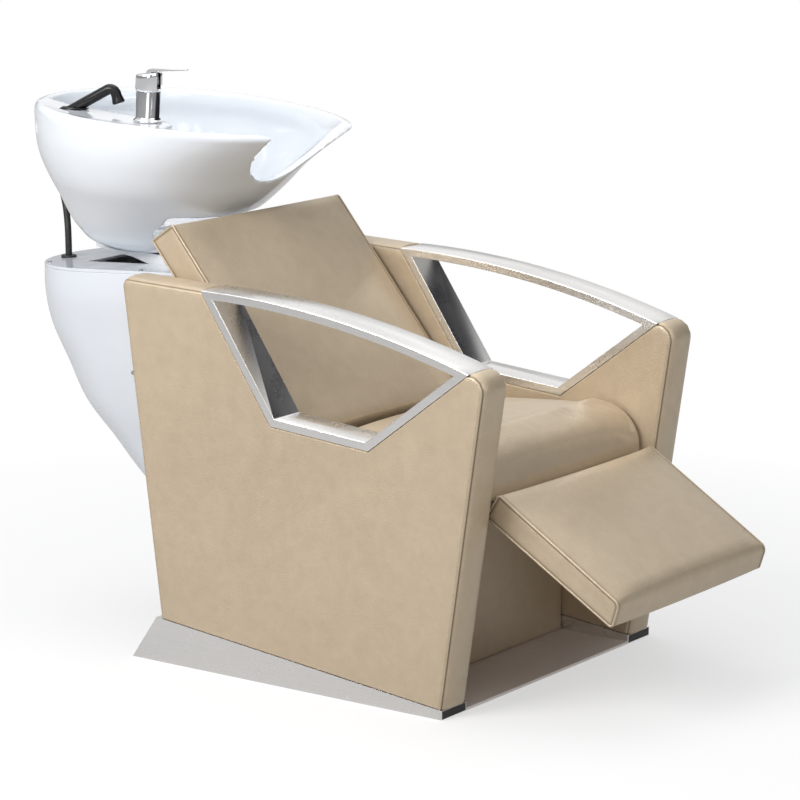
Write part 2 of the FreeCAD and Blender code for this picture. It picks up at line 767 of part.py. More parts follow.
def make_backrest():
    rounding = value("cushion_edge_round")
    profile = pad_profile(0, value("back_length"), -value("back_thickness"), 0, rounding, rounding,
                          value("back_crown"))
    solid = shaped("backrest_pad", soft_sections(value("back_width / 2"), rounding, profile))
    half = "(back_width / 2 - back_board_inset)"
    recess = block("backrest_recess", (f"-{half}", "back_board_inset", "-back_thickness - overrun"),
                   (f"2 * {half}", "back_length - 2 * back_board_inset", "back_board + overrun"))
    keep(cut("backrest_cushion", solid, recess), BACKREST)
    board = block("back_panel", (f"-{half}", "back_board_inset", "-back_thickness"),
                  (f"2 * {half}", "back_length - 2 * back_board_inset", "back_board"))
    drills = []
    screws = []
    for side, sign in SIDES:
        for number in (1, 2):
            along = f"strap_reach - {number} * strap_screw_pitch + strap_screw_pitch / 2"
            start = (f"{sign} * strap_place", along, "-back_thickness - strap_sheet")
            drills.append(rod(f"{side}_strap_drill_{number}", start, "strap_screw / 2 + pin_clearance",
                              "strap_sheet + back_board * 0.8"))
            shank = rod(f"{side}_strap_shank_{number}", start, "strap_screw / 2", "strap_sheet + back_board * 0.8")
            head = rod(f"{side}_strap_head_{number}",
                       (start[0], along, "-back_thickness - strap_sheet - strap_screw * 0.5"),
                       "strap_screw * 0.9", "strap_screw * 0.5")
            screws.append(fuse(f"{side}_strap_screw_{number}", [shank, head]))
    keep(cut("backrest_board", board, group("strap_drills", drills)), BACKREST)
    keep(group("backrest_screws", screws), BACKREST)
    rear_face = "(rear_crossbar_station + crossbar_depth)"
    outline = [(rear_face, "crossbar_low + strap_sheet / 2"),
               (f"{rear_face} + strap_sheet", "crossbar_low + strap_sheet / 2"),
               (f"{rear_face} + strap_sheet", "crossbar_low + crossbar_height / 2"),
               back_point("-strap_width", "-back_thickness - strap_sheet"),
               back_point("strap_reach", "-back_thickness - strap_sheet"),
               back_point("strap_reach", "-back_thickness"),
               back_point("-strap_width", "-back_thickness"),
               (rear_face, "crossbar_low + crossbar_height")]
    for side, sign in SIDES:
        strap = body_of(f"{side}_strap")
        pad(strap, [outline], "strap_width", f"{sign} * strap_place")
        holes = []
        for number in (1, 2):
            along = f"(strap_reach - {number} * strap_screw_pitch + strap_screw_pitch / 2)"
            hole = rod(f"{side}_strap_hole_{number}", (f"{sign} * strap_place", along,
                       "-back_thickness - strap_sheet - overrun"), "strap_screw / 2 + pin_clearance",
                       "strap_sheet + 2 * overrun")
            holes.append(hole)
        drill = group(f"{side}_strap_holes", holes)
        drill.Placement = Placement(Vector(), Rotation(Vector(1, 0, 0), value("back_angle")))
        drill.setExpression("Placement.Base.y", bound("back_foot_station"))
        drill.setExpression("Placement.Base.z", bound("back_foot_height"))
        drill.setExpression("Placement.Rotation.Angle", bound("back_angle * 1 deg"))
        keep(cut(f"{side}_backrest_bracket", strap, drill))


# Lower front panel
def make_front_panel():
    half = f"({INNER_HALF} - front_panel_gap)"
    board_face = "(front_panel_station + front_panel_padding)"
    plate("front_panel_cover", rectangle("front_panel_station", "base_sheet", board_face, SEAT_LOW), f"2 * {half}")
    plate("front_panel_board", rectangle(board_face, "base_sheet", f"{board_face} + front_panel_board", SEAT_LOW),
          f"2 * {half}")


# Leg rest, in its own frame at the hinge: +Y runs back along it, +Z is its top side
def make_leg_rest():
    length, behind, below = value("leg_rest_length"), value("leg_rest_behind"), value("leg_rest_below")
    top = value("leg_rest_thickness") - below
    profile = pad_profile(behind - length, behind, -below, top, value("leg_rest_nose_round"),
                          value("cushion_edge_round"), value("leg_rest_crown"))
    solid = shaped("leg_rest_pad", soft_sections(value("leg_rest_width / 2"), value("cushion_edge_round"), profile))
    edge = "leg_rest_edge"
    board_low = "(hinge_leaf / 2)"
    board_front = f"(leg_rest_behind - leg_rest_length + {edge})"
    board_rear = "(-hinge_eye_radius - eye_clearance)"
    recess = block("leg_rest_recess", (f"-leg_rest_width / 2 + {edge}", board_front, "-leg_rest_below - overrun"),
                   (f"leg_rest_width - 2 * {edge}", f"{board_rear} - {board_front}",
                    f"leg_rest_below + overrun + {board_low} + leg_rest_board"))
    notch_width = "(hinge_leaf_width + 2 * hinge_ear)"
    notches = []
    for side, sign in SIDES:
        notches.append(block(f"{side}_leg_rest_notch", (f"{sign} * hinge_place - {notch_width} / 2",
                             f"{board_rear} - overrun", "-leg_rest_below - overrun"),
                             (notch_width, f"leg_rest_behind + 2 * overrun - {board_rear}",
                              f"leg_rest_below + overrun + hinge_eye_radius + eye_clearance")))
    keep(cut("leg_rest_cushion", solid, fuse("leg_rest_hollows", [recess] + notches)), LEG_REST)
    plate("leg_rest_board", rectangle(board_front, board_low, board_rear, f"{board_low} + leg_rest_board"),
          f"leg_rest_width - 2 * {edge}", "0", LEG_REST)
    pins = []
    washers = []
    ear_gap = "(hinge_ear / 2 + washer_thickness)"
    eye = ("0", "0", "hinge_eye_radius")
    bore = ("0", "0", "hinge_pin_radius + pin_clearance")
    for side, sign in SIDES:
        arm = body_of(f"{side}_leg_rest_arm")
        centre = f"{sign} * (hinge_place)"
        leaf = [("-hinge_leaf_reach", "-hinge_leaf / 2"), ("0", "-hinge_leaf / 2"), ("0", "hinge_leaf / 2"),
                ("-hinge_leaf_reach", "hinge_leaf / 2")]
        pad(arm, [leaf], "hinge_leaf_width", centre)
        pad(arm, [eye], "hinge_leaf_width", centre)
        pocket(arm, [bore], "hinge_leaf_width + overrun", centre)
        reach = "(hinge_eye_radius + eye_clearance)"
        slot = [(f"-{reach}", f"-{reach}"), (reach, f"-{reach}"), (reach, reach), (f"-{reach}", reach)]
        pocket(arm, [slot], "hinge_ear + 2 * washer_thickness", centre)
        keep(arm, LEG_REST)
        bracket = body_of(f"{side}_hinge_bracket")
        reach = "-leg_pivot_reach"
        height = "leg_pivot_height"
        ear = [(reach, f"{height} - hinge_eye_radius * 0.8"), ("front_crossbar_station", "crossbar_low"),
               ("front_crossbar_station", "crossbar_low + crossbar_height * 0.75"),
               (reach, f"{height} + hinge_eye_radius * 0.8")]
        pad(bracket, [ear], "hinge_ear", centre)
        pad(bracket, [(reach, height, "hinge_eye_radius")], "hinge_ear", centre)
        pocket(bracket, [(reach, height, "hinge_pin_radius + pin_clearance")], "hinge_ear + overrun", centre)
        pad(bracket, [[("front_crossbar_station - hinge_ear", "crossbar_low"),
                       ("front_crossbar_station", "crossbar_low"),
                       ("front_crossbar_station", "crossbar_low + crossbar_height * 0.9"),
                       ("front_crossbar_station - hinge_ear", "crossbar_low + crossbar_height * 0.9")]],
            "hinge_leaf_width", centre)
        keep(bracket)
        start = f"{sign} * hinge_place - hinge_leaf_width / 2 - fit_gap"
        shank = rod(f"{side}_pin_shank", (start, "0", "0"), "hinge_pin_radius",
                    "hinge_leaf_width + 2 * fit_gap", "x")
        head = rod(f"{side}_pin_head", (f"{start} - hinge_pin_head", "0", "0"), "hinge_pin_radius * 1.5",
                   "hinge_pin_head", "x")
        clip = rod(f"{side}_pin_clip", (f"{start} + hinge_leaf_width + 2 * fit_gap", "0", "0"),
                   "hinge_pin_radius * 1.4", "hinge_pin_head / 2", "x")
        pins.append(fuse(f"{side}_hinge_pin", [shank, head, clip]))
        for step in (-1, 1):
            disc = rod(f"{side}_disc_{step + 2}", (f"{sign} * hinge_place + {step} * (hinge_ear / 2"
                       " + washer_thickness / 2) - washer_thickness / 2", "0", "0"), "hinge_eye_radius",
                       "washer_thickness", "x")
            hole = rod(f"{side}_disc_hole_{step + 2}", (f"{sign} * hinge_place - hinge_leaf_width / 2", "0", "0"),
                       "hinge_pin_radius + pin_clearance", "hinge_leaf_width", "x")
            washers.append(cut(f"{side}_washer_{step + 2}", disc, hole))
    keep(group("leg_rest_pins", pins), LEG_REST)
    keep(group("friction_washers", washers), LEG_REST)


# Column
# Bolt heads: radius and height, as shares of the shank's radius
BOLT_HEAD_SHARE = 1.6
# Where the fork's bolts sit between its middle and its corners
HEAD_BOLT_SHARES = (0.45, 0.72)
# Where the shroud's screws sit along the tabs of the tie bar
TIE_SCREW_SHARES = (0.4, 0.8)


def column_rear(height):
    """Station of the column's rear face at a height."""
    return ("(column_foot_station + column_foot_depth + (column_head_station + column_head_depth"
            " - column_foot_station - column_foot_depth) * "
            f"({height} - base_sheet - foot_plate) / (column_head_height - base_sheet - foot_plate))")


TIE_LOW = "(tie_bar_height - tie_bar_width / 2)"
TIE_HIGH = "(tie_bar_height + tie_bar_width / 2)"
TIE_FACE = f"({column_rear(TIE_LOW)} - column_wall / 2)"
UNION_FACE = column_rear("hose_union_height")
HEAD_TOP = "(column_head_height + head_plate)"


def tie_screw_places():
    return [(f"{TIE_FACE} + tie_tab * {share}", "tie_bar_height") for share in TIE_SCREW_SHARES]


def head_bolt_places():
    """Places of the bolts that hold the fork on the head plate."""
    return [(f"{across} * bracket_half_width * {HEAD_BOLT_SHARES[0]}",
             f"hinge_station + {along} * bracket_half_depth * {HEAD_BOLT_SHARES[1]}", "head_bolt / 2")
            for across in (-1, 1) for along in (-1, 1)]


def cleared(places):
    return [(x, y, f"{radius} + pin_clearance") for x, y, radius in places]


def bolt(name, foot, radius, length, axis="z", sign=1):
    """A bolt whose round head is at the far end of its shank."""
    along = "xyz".index(axis)
    shank_foot, head_foot = list(foot), list(foot)
    head = f"{radius} * {BOLT_HEAD_SHARE}"
    if sign > 0:
        head_foot[along] = f"{foot[along]} + {length}"
    else:
        shank_foot[along] = f"{foot[along]} - ({length})"
        head_foot[along] = f"{foot[along]} - ({length}) - {head}"
    return fuse(name, [rod(f"{name}_shank", shank_foot, radius, length, axis),
                       rod(f"{name}_cap", head_foot, head, head, axis)])


def make_column():
    low = "(base_sheet + foot_plate)"
    wall = "column_wall"
    foot_rear = "column_foot_station + column_foot_depth"
    head_rear = "column_head_station + column_head_depth"
    post = body_of("column")
    pad(post, [[("column_foot_station", low), (foot_rear, low), (head_rear, "column_head_height"),
                ("column_head_station", "column_head_height")]], "column_width")
    pad(post, [rectangle(TIE_FACE, TIE_LOW, f"{TIE_FACE} + tie_bar_sheet", TIE_HIGH)], "2 * tie_bar_half_length")
    for side, sign in SIDES:
        pad(post, [rectangle(TIE_FACE, TIE_LOW, f"{TIE_FACE} + tie_tab", TIE_HIGH)], "tie_bar_sheet",
            f"{sign} * (tie_bar_half_length - tie_bar_sheet / 2)")
    pocket(post, [[(f"column_foot_station + {wall}", low), (f"{foot_rear} - {wall}", low),
                   (f"{head_rear} - {wall}", "column_head_height"),
                   (f"column_head_station + {wall}", "column_head_height")]], "column_width - 2 * column_wall")
    foot_half = "(column_foot_depth / 2 + foot_plate_margin)"
    pad(post, [rectangle(f"{FOOT_MIDDLE} - {foot_half}", "base_sheet", f"{FOOT_MIDDLE} + {foot_half}", low)],
        "foot_plate_width")
    pad(post, [rectangle("hinge_station - bracket_half_depth", "column_head_height",
                         "hinge_station + bracket_half_depth", HEAD_TOP)], "2 * bracket_half_width")
    pocket(post, cleared(foot_bolt_places()), "2 * foot_plate", low, "XY_Plane")
    pocket(post, cleared(head_bolt_places()), "2 * head_plate", HEAD_TOP, "XY_Plane")
    screws = [(*place, "shroud_screw / 2 + pin_clearance") for place in tie_screw_places()]
    for side, sign in SIDES:
        pocket(post, screws, "2 * tie_bar_sheet", f"{sign} * tie_bar_half_length")
    union = ("-hose_union_place", "hose_union_height", "hose_union_radius + pin_clearance")
    pocket(post, [union], "column_wall * 6", f"-{UNION_FACE}", "XZ_Plane")
    keep(post)
    bolts = [bolt(f"foot_bolt_{number}", (x, y, "fit_gap"), radius, f"{low} - fit_gap")
             for number, (x, y, radius) in enumerate(foot_bolt_places())]
    bolts += [bolt(f"head_bolt_{number}", (x, y, "column_head_height"), radius,
                   "head_plate + bracket_sheet") for number, (x, y, radius) in enumerate(head_bolt_places())]
    keep(group("column_bolts", bolts))


# Shroud
# Each section: height, half width, rear station and front station, as shares of the top's
SHROUD_SECTION_SHARES = (
    (0.089, 0.500, 0.600, 0.692),
    (0.129, 0.525, 0.605, 0.695),
    (0.216, 0.565, 0.672, 0.702),
    (0.330, 0.630, 0.754, 0.709),
    (0.437, 0.700, 0.825, 0.716),
    (0.507, 0.750, 0.863, 0.730),
    (0.599, 0.825, 0.916, 0.758),
    (0.723, 0.900, 0.956, 0.787),
    (0.833, 0.950, 0.989, 0.843),
    (0.941, 1.000, 1.000, 0.920),
    (1.050, 1.000, 1.000, 1.000),
)
# Places of the lid's screws: across and along, as shares of the shroud's half width and rear station
LID_SCREW_SHARES = ((-0.95, 0.70), (0.95, 0.70), (-0.66, 0.945), (0.66, 0.945))


def shroud_solid(inset, front_overrun):
    """The shroud's outside, drawn in by the inset and run forward by the overrun."""
    wires = []
    for height, width, rear, front in SHROUD_SECTION_SHARES:
        z = height * value("shroud_top_height")
        half = width * value("shroud_half_width") - inset
        back = rear * value("shroud_rear_station") - inset
        mouth = front * value("shroud_front_station") - front_overrun
        turn = back - half
        bulge = half * math.sqrt(0.5)
        left, right = Vector(half, turn, z), Vector(-half, turn, z)
        middle = Vector(0, back, z)
        left_mouth, right_mouth = Vector(half, mouth, z), Vector(-half, mouth, z)
        wires.append(Part.Wire([
            line(left_mouth, left), arc(left, Vector(bulge, turn + bulge, z), middle),
            arc(middle, Vector(-bulge, turn + bulge, z), right), line(right, right_mouth),
            line(right_mouth, left_mouth)]))
    return loft(wires, True)


def lid_slab(thickness, lift):
    """A slab that lies in the lid's plane, with its underside lifted off the shroud's edge."""
    length = value("shroud_rear_station")
    half = value("overall_width")
    slab = Part.makeBox(2 * half, 2 * length, thickness, Vector(-half, -length, lift))
    slab.rotate(Vector(), Vector(1, 0, 0), -value("lid_slope"))
    slab.translate(Vector(0, value("hinge_station"), value("shroud_top_height")))
    return slab


def lid_screws(radius, top, length):
    """Rods across the lid's plane at its screws, from a depth below it upwards."""
    rods = []
    for across, along in LID_SCREW_SHARES:
        x, y = across * value("shroud_half_width"), along * value("shroud_rear_station") - value("hinge_station")
        item = Part.makeCylinder(radius, length, Vector(x, y, top - length))
        item.rotate(Vector(), Vector(1, 0, 0), -value("lid_slope"))
        item.translate(Vector(0, value("hinge_station"), value("shroud_top_height")))
        rods.append(item)
    return rods


def make_shroud():
    wall, lid = value("shroud_wall"), value("shroud_lid")
    screw = value("shroud_screw / 2")
    clearance = value("pin_clearance")
    above = lid_slab(value("shroud_top_height"), 0)
    outside = shroud_solid(0, 0)
    shell = outside.cut(shroud_solid(wall, value("shroud_front_station") / 2)).cut(above)
    depth = value("lid_boss_depth")
    bosses = [item.common(outside) for item in lid_screws(value("lid_boss_radius"), 0, depth)]
    shell = shell.fuse(bosses).cut(lid_screws(screw + clearance, 0, depth * 0.8))
    side_holes = []
    for y, z in tie_screw_places():
        y, z = value(y), value(z)
        for side, sign in SIDES:
            start = Vector(sign * value("tie_bar_half_length - tie_bar_sheet"), y, z)
            out = Vector(sign, 0, 0)
            side_holes.append(Part.makeCylinder(screw + clearance, value("shroud_half_width"), start, out))
            seat = start + out * value("tie_bar_sheet + tie_screw_grip")
            side_holes.append(Part.makeCylinder(screw * BOLT_HEAD_SHARE + value("fit_gap"),
                                                value("shroud_half_width"), seat, out))
    shell = shell.cut(side_holes).removeSplitter()
    keep(shaped("rear_shroud", shell))
    cover = outside.common(lid_slab(lid, 0))
    front, rear = value("lid_opening_front"), value("lid_opening_rear")
    half = value("lid_opening_half_width")
    tall = value("2 * shroud_top_height")
    opening = Part.makeBox(2 * half, rear - front, tall, Vector(-half, front, 0))
    upright = [edge for edge in opening.Edges if edge.BoundBox.ZLength > tall / 2]
    opening = opening.makeFillet(value("lid_opening_round"), upright)
    grommet_hole = Part.makeCylinder(value("grommet_radius"), tall,
                                     Vector(-value("grommet_place"), value("grommet_station"), 0))
    # the lid's holes
    cover = cover.cut([opening, grommet_hole, *lid_screws(screw + clearance, lid + lid, lid * 3)])
    keep(shaped("shroud_cover", cover))
    screws = []
    for item, head in zip(lid_screws(screw, lid, depth * 0.7 + lid),
                          lid_screws(screw * BOLT_HEAD_SHARE, lid + screw, screw)):
        screws.append(item.fuse(head))
    for y, z in tie_screw_places():
        for side, sign in SIDES:
            inner = Vector(sign * value("tie_bar_half_length - 2 * tie_bar_sheet"), value(y), value(z))
            out = Vector(sign, 0, 0)
            shank = value("2 * tie_bar_sheet + tie_screw_grip")
            body = Part.makeCylinder(screw, shank, inner, out)
            screws.append(body.fuse(Part.makeCylinder(screw * BOLT_HEAD_SHARE, screw, inner + out * shank, out)))
    keep(shaped("shroud_screws", Part.makeCompound(screws)))
    sleeve = body_of("hose_grommet")
    place = ("-grommet_place", "grommet_station")
    low = "grommet_height"
    pad(sleeve, [(*place, "grommet_radius")], "3 * grommet_lip + shroud_lid", low, "XY_Plane")
    pocket(sleeve, [(*place, "hose_radius + fit_gap")], "6 * grommet_lip + shroud_lid", low, "XY_Plane")
    keep(sleeve)


# Basin, in its own frame at the tilt hinge: +Z is square to its rim
# Each section of the outside: height, half width, front reach, rear reach and shift, as shares of the basin's
BASIN_SECTION_SHARES = (
    (1.000, 0.944, 0.980, 0.953, 0.000),
    (0.974, 0.970, 0.985, 0.964, 0.000),
    (0.918, 0.985, 0.924, 0.946, 0.000),
    (0.810, 1.000, 0.806, 0.921, 0.000),
    (0.668, 0.985, 0.677, 0.881, 0.000),
    (0.500, 0.925, 0.563, 0.791, 0.000),
    (0.381, 0.843, 0.480, 0.733, 0.010),
    (0.134, 0.664, 0.290, 0.603, 0.050),
    (0.052, 0.590, 0.245, 0.513, 0.055),
    (0.000, 0.478, 0.220, 0.440, 0.060),
)
# Thickness of the wall at the upper sections: side, front and rear, as shares of the ceramic's wall
BOWL_WALL_SHARES = (
    (0.87, 0.87, 0.87),
    (1.73, 1.93, 1.80),
    (1.67, 1.87, 1.67),
    (1.13, 1.47, 1.07),
    (1.07, 1.33, 1.07),
    (1.13, 1.40, 1.07),
    (1.20, 1.47, 1.13),
    (2.20, 2.13, 1.93),
)
# The bowl's floor: half width, front reach, rear reach and shift, as shares of the basin's
FLOOR_SHARES = (0.373, 0.125, 0.440, 0.100)
# Inner edge of the tap ledge, from the front to the rear: shares of half width and of rear reach
LEDGE_SHARES = ((-0.866, -0.590), (-0.522, -0.452), (-0.485, 0.288), (-0.448, 0.576), (-0.354, 0.827),
                (-0.317, 1.10))


def quarter(centre, z, across, along, begin):
    """A quarter of an ellipse round a place on the middle plane, from an angle in degrees."""
    middle = Vector(0, centre, z)
    if across >= along:
        whole = Part.Ellipse(Vector(across, centre, z), Vector(0, centre + along, z), middle)
        turned = begin
    else:
        whole = Part.Ellipse(Vector(0, centre + along, z), Vector(-across, centre, z), middle)
        turned = begin - 90
    return Part.ArcOfEllipse(whole, math.radians(turned), math.radians(turned + 90)).toShape()


def oval(z, half, front, rear, shift):
    centre = value("basin_centre") + shift
    front, rear = front + shift, rear - shift
    return Part.Wire([quarter(centre, z, half, rear, 0), quarter(centre, z, half, rear, 90),
                      quarter(centre, z, half, front, 180), quarter(centre, z, half, front, 270)])


def basin_section(shares, walls=(0, 0, 0)):
    height, width, front, rear, shift = shares
    wall = value("ceramic_wall")
    z = value("rim_height - basin_depth") + height * value("basin_depth")
    side_wall, front_wall, rear_wall = walls
    return oval(z, width * value("basin_half_width") - side_wall * wall,
                front * value("basin_front_reach") - front_wall * wall,
                rear * value("basin_rear_reach") - rear_wall * wall, shift * value("basin_rear_reach"))


def bowl_solid():
    top = basin_section(BASIN_SECTION_SHARES[0], BOWL_WALL_SHARES[0])
    top.translate(Vector(0, 0, value("overrun")))
    wires = [top]
    wires += [basin_section(shares, walls) for shares, walls in zip(BASIN_SECTION_SHARES, BOWL_WALL_SHARES)]
    width, front, rear, shift = FLOOR_SHARES
    wires.append(oval(value("rim_height - bowl_depth"), width * value("basin_half_width"),
                      front * value("basin_front_reach"), rear * value("basin_rear_reach"),
                      shift * value("basin_rear_reach")))
    return loft(wires, True)


def ledge_prism(inset, top):
    """Everything on the tap's side of the ledge's inner edge, drawn in by the inset, up to a height."""
    half, rear = value("basin_half_width"), value("basin_rear_reach")
    centre = value("basin_centre")
    edge = [Vector(x * half - inset, centre + y * rear, 0) for x, y in LEDGE_SHARES]
    edge[0] += Vector(0, inset, 0)
    edge[1] += Vector(0, inset, 0)
    edge[-1] -= Vector(inset / 2, 0, 0)
    far = [Vector(-half - value("overrun"), edge[-1].y, 0), Vector(-half - value("overrun"), edge[0].y, 0)]
    outline = Part.makePolygon(edge + far + edge[:1])
    prism = Part.Face(outline).extrude(Vector(0, 0, top))
    upright = [item for item in prism.Edges if item.BoundBox.ZLength > top / 2
               and (item.BoundBox.Center - edge[1]).cross(Vector(0, 0, 1)).Length < 1]
    return prism.makeFillet(value("ledge_corner_round") - inset, upright)


def on_basin(x, y, z):
    """A place in the basin's frame, from expressions."""
    return Vector(value(x), value(y), value(z))


def make_basin():
    wires = [basin_section(shares) for shares in BASIN_SECTION_SHARES]
    outside = loft(wires, True)
    bowl = bowl_solid()
    rim = value("rim_height")
    open_bowl = bowl.cut(ledge_prism(0, 2 * rim))
    void = bowl.common(ledge_prism(value("ceramic_wall"), rim - value("ledge_thickness")))
    recess_axis = Vector(0, -value("2 * basin_front_reach"), rim + value("recess_rise"))
    recess = Part.makeCylinder(value("recess_radius"), value("2 * basin_front_reach + recess_end"),
                               recess_axis, Vector(0, 1, 0))
    up = Vector(0, 0, 1)
    tap_hole = Part.makeCylinder(value("tap_shank_radius + fit_gap"), 2 * value("ledge_thickness"),
                                 on_basin("-tap_place", "-tap_forward", "rim_height - 1.5 * ledge_thickness"), up)
    around = 4 * value("holder_height")
    holder_hole = axis_rod(value("holder_radius + fit_gap"), -around, around)
    drain_hole = Part.makeCylinder(value("drain_radius"), 2 * rim,
                                   on_basin("0", "drain_station", "-rim_height"), up)
    begin, end = hose_exit()
    along = (end - begin).normalize()
    exit_hole = Part.makeCylinder(value("hose_radius + hose_exit_gap"), (end - begin).Length,
                                  begin + along * value("hose_exit_start"), along)
    ceramic = outside.cut([open_bowl, void, recess, tap_hole, holder_hole, drain_hole, exit_hole])
    keep(shaped("basin", ceramic.removeSplitter()), BASIN)
    strainer = body_of("drain_strainer")
    floor = "(rim_height - bowl_depth)"
    at_drain = ("0", "drain_station")
    pad(strainer, [(*at_drain, "drain_radius * 1.45")], "2 * strainer_sheet", f"{floor} + strainer_sheet", "XY_Plane")
    pad(strainer, [(*at_drain, "waste_radius")], "2 * strainer_depth", f"{floor}", "XY_Plane")
    holes = []
    for turn in range(6):
        holes.append((f"strainer_pitch * cos({turn} * 60)", f"drain_station + strainer_pitch * sin({turn} * 60)",
                      "strainer_hole"))
    pocket(strainer, [(*at_drain, "strainer_hole")] + holes, "4 * strainer_depth", floor, "XY_Plane")
    keep(strainer, BASIN)
    tail = body_of("waste_fitting")
    foot = "(rim_height - basin_depth - gasket)"
    tail_low = "-waste_length / 2"
    pad(tail, [(*at_drain, "waste_radius")], "waste_length", f"{floor} - strainer_depth - waste_length / 2", "XY_Plane")
    pad(tail, [(*at_drain, "drain_radius * 1.3")], "strainer_depth",
        f"{foot} - tilt_plate_depth - strainer_depth / 2", "XY_Plane")
    pocket(tail, [(*at_drain, "waste_radius - 3 * strainer_sheet / 2")], "2 * waste_length", floor, "XY_Plane")
    keep(tail, BASIN)
    pad_body = body_of("basin_gasket")
    pad(pad_body, [[("-gasket_half_width", "gasket_front"), ("gasket_half_width", "gasket_front"),
                    ("gasket_half_width", "gasket_rear"), ("-gasket_half_width", "gasket_rear")]],
        "gasket", f"{foot} + gasket / 2", "XY_Plane")
    pocket(pad_body, [(*at_drain, "drain_radius * 1.3 + fit_gap")], "4 * gasket", foot, "XY_Plane")
    keep(pad_body, BASIN)


# Tilt hinge
def make_tilt():
    bore = "(tilt_pin_radius + pin_clearance)"
    fork = body_of("tilt_bracket")
    seat = f"({HEAD_TOP} + bracket_sheet)"
    pad(fork, [rectangle("hinge_station - bracket_half_depth", HEAD_TOP, "hinge_station + bracket_half_depth", seat)],
        "2 * bracket_half_width")
    for side, sign in SIDES:
        centre = f"{sign} * tilt_ear_place"
        pad(fork, [[("hinge_station - bracket_half_depth * 0.8", HEAD_TOP),
                    ("hinge_station + bracket_half_depth * 0.8", HEAD_TOP),
                    ("hinge_station + tilt_ear_radius * 0.8", "hinge_height + tilt_ear_radius * 0.6"),
                    ("hinge_station - tilt_ear_radius * 0.8", "hinge_height + tilt_ear_radius * 0.6")]],
            "tilt_ear", centre)
        pad(fork, [("hinge_station", "hinge_height", "tilt_ear_radius")], "tilt_ear", centre)
    pocket(fork, [("hinge_station", "hinge_height", bore)], "4 * tilt_ear_place")
    pocket(fork, cleared(head_bolt_places()), "4 * bracket_sheet", seat, "XY_Plane")
    keep(fork)
    tray = body_of("tilt_plate")
    top = "(rim_height - basin_depth - gasket)"
    low = "-tilt_skirt_drop"
    skirt = [("-tilt_plate_front", top), ("-tilt_plate_front", low), ("tilt_plate_front / 2", low),
             ("tilt_plate_rear * 0.42", f"{top} - tilt_plate_depth"), ("tilt_plate_rear", f"{top} - tilt_plate_depth / 2"),
             ("tilt_plate_rear", top)]
    pad(tray, [skirt], "2 * tilt_plate_half_width")
    under = f"({top} - tilt_plate_sheet)"
    pocket(tray, [[("-tilt_plate_front + tilt_plate_sheet", under), ("-tilt_plate_front + tilt_plate_sheet", f"{low} - 1"),
                   ("tilt_plate_rear - tilt_plate_sheet", f"{low} - fit_gap"), ("tilt_plate_rear - tilt_plate_sheet", under)]],
           "2 * (tilt_plate_half_width - tilt_plate_sheet)")
    lug_place = "(tilt_ear_place - tilt_ear / 2 - washer_thickness - tilt_lug / 2)"
    for side, sign in SIDES:
        centre = f"{sign} * {lug_place}"
        pad(tray, [[("-tilt_lug_radius", under), ("-tilt_lug_radius", "0"), ("tilt_lug_radius", "0"),
                    ("tilt_lug_radius", under)]], "tilt_lug", centre)
        pad(tray, [("0", "0", "tilt_lug_radius")], "tilt_lug", centre)
    pocket(tray, [("0", "0", bore)], "2 * tilt_ear_place")
    pocket(tray, [("0", "drain_station", "drain_radius + fit_gap")], "8 * tilt_plate_depth", "0", "XY_Plane")
    keep(tray, BASIN)
    half = "(tilt_ear_place + tilt_ear)"
    shank = rod("tilt_shank", (f"-{half}", "0", "0"), "tilt_pin_radius", f"2 * {half}", "x")
    heads = [rod("tilt_head", (f"-{half} - tilt_pin_head", "0", "0"), f"tilt_pin_radius * {BOLT_HEAD_SHARE}",
                 "tilt_pin_head", "x"),
             rod("tilt_knob", (half, "0", "0"), f"tilt_pin_radius * {BOLT_HEAD_SHARE}", "tilt_pin_head", "x")]
    keep(group("tilt_pin", [fuse("tilt_axle", [shank] + heads)]), ("0", "hinge_station", "hinge_height", "0"))
    washers = []
    for side, sign in SIDES:
        middle = f"{sign} * (tilt_ear_place - tilt_ear / 2 - washer_thickness / 2) - washer_thickness / 2"
        disc = rod(f"{side}_tilt_disc", (middle, "0", "0"), "tilt_lug_radius", "washer_thickness", "x")
        hole = rod(f"{side}_tilt_disc_hole", (f"-{half}", "0", "0"), bore, f"2 * {half}", "x")
        washers.append(cut(f"{side}_tilt_washer", disc, hole))
    keep(group("tilt_washers", washers), ("0", "hinge_station", "hinge_height", "0"))


# Cords and tubes
def bent_path(points):
    """A route of straight runs joined by tangent arcs, as wide as its shorter runs allow."""
    edges = []
    begin = points[0]
    for before, corner, after in zip(points, points[1:], points[2:]):
        into, out = corner - before, after - corner
        turn = into.getAngle(out)
        reach = BEND_SHARE * min(into.Length, out.Length)
        start = corner - into.normalize() * reach
        end = corner + out.normalize() * reach
        inward = (end - corner).normalize() + (start - corner).normalize()
        radius = reach / math.tan(turn / 2)
        middle = corner + inward.normalize() * (radius / math.cos(turn / 2) - radius)
        edges.append(line(begin, start))
        edges.append(arc(start, middle, end))
        begin = end
    edges.append(line(begin, points[-1]))
    return Part.Wire(edges)


# Share of the shorter run that an arc takes up at a corner
BEND_SHARE = 0.45


def tube(points, radius):
    path = bent_path(points)
    start, onward = points[0], points[1] - points[0]
    section = Part.Wire([Part.makeCircle(radius, start, onward)])
    solid = path.makePipeShell([section], True, False)
    expected = math.pi * radius ** 2 * path.Length
    if not solid.isValid() or abs(solid.Volume / expected - 1) > 0.02:
        raise ValueError("a tube has the wrong volume")
    return solid


# Hand shower: its straight part leaves the ledge at a slant, turned a little towards the bowl
def shower_place(along):
    """A place on the axis of the hand shower's straight part, from where it passes the ledge's top."""
    base = on_basin("-shower_place", "shower_station", "rim_height")
    return base + shower_axis() * along


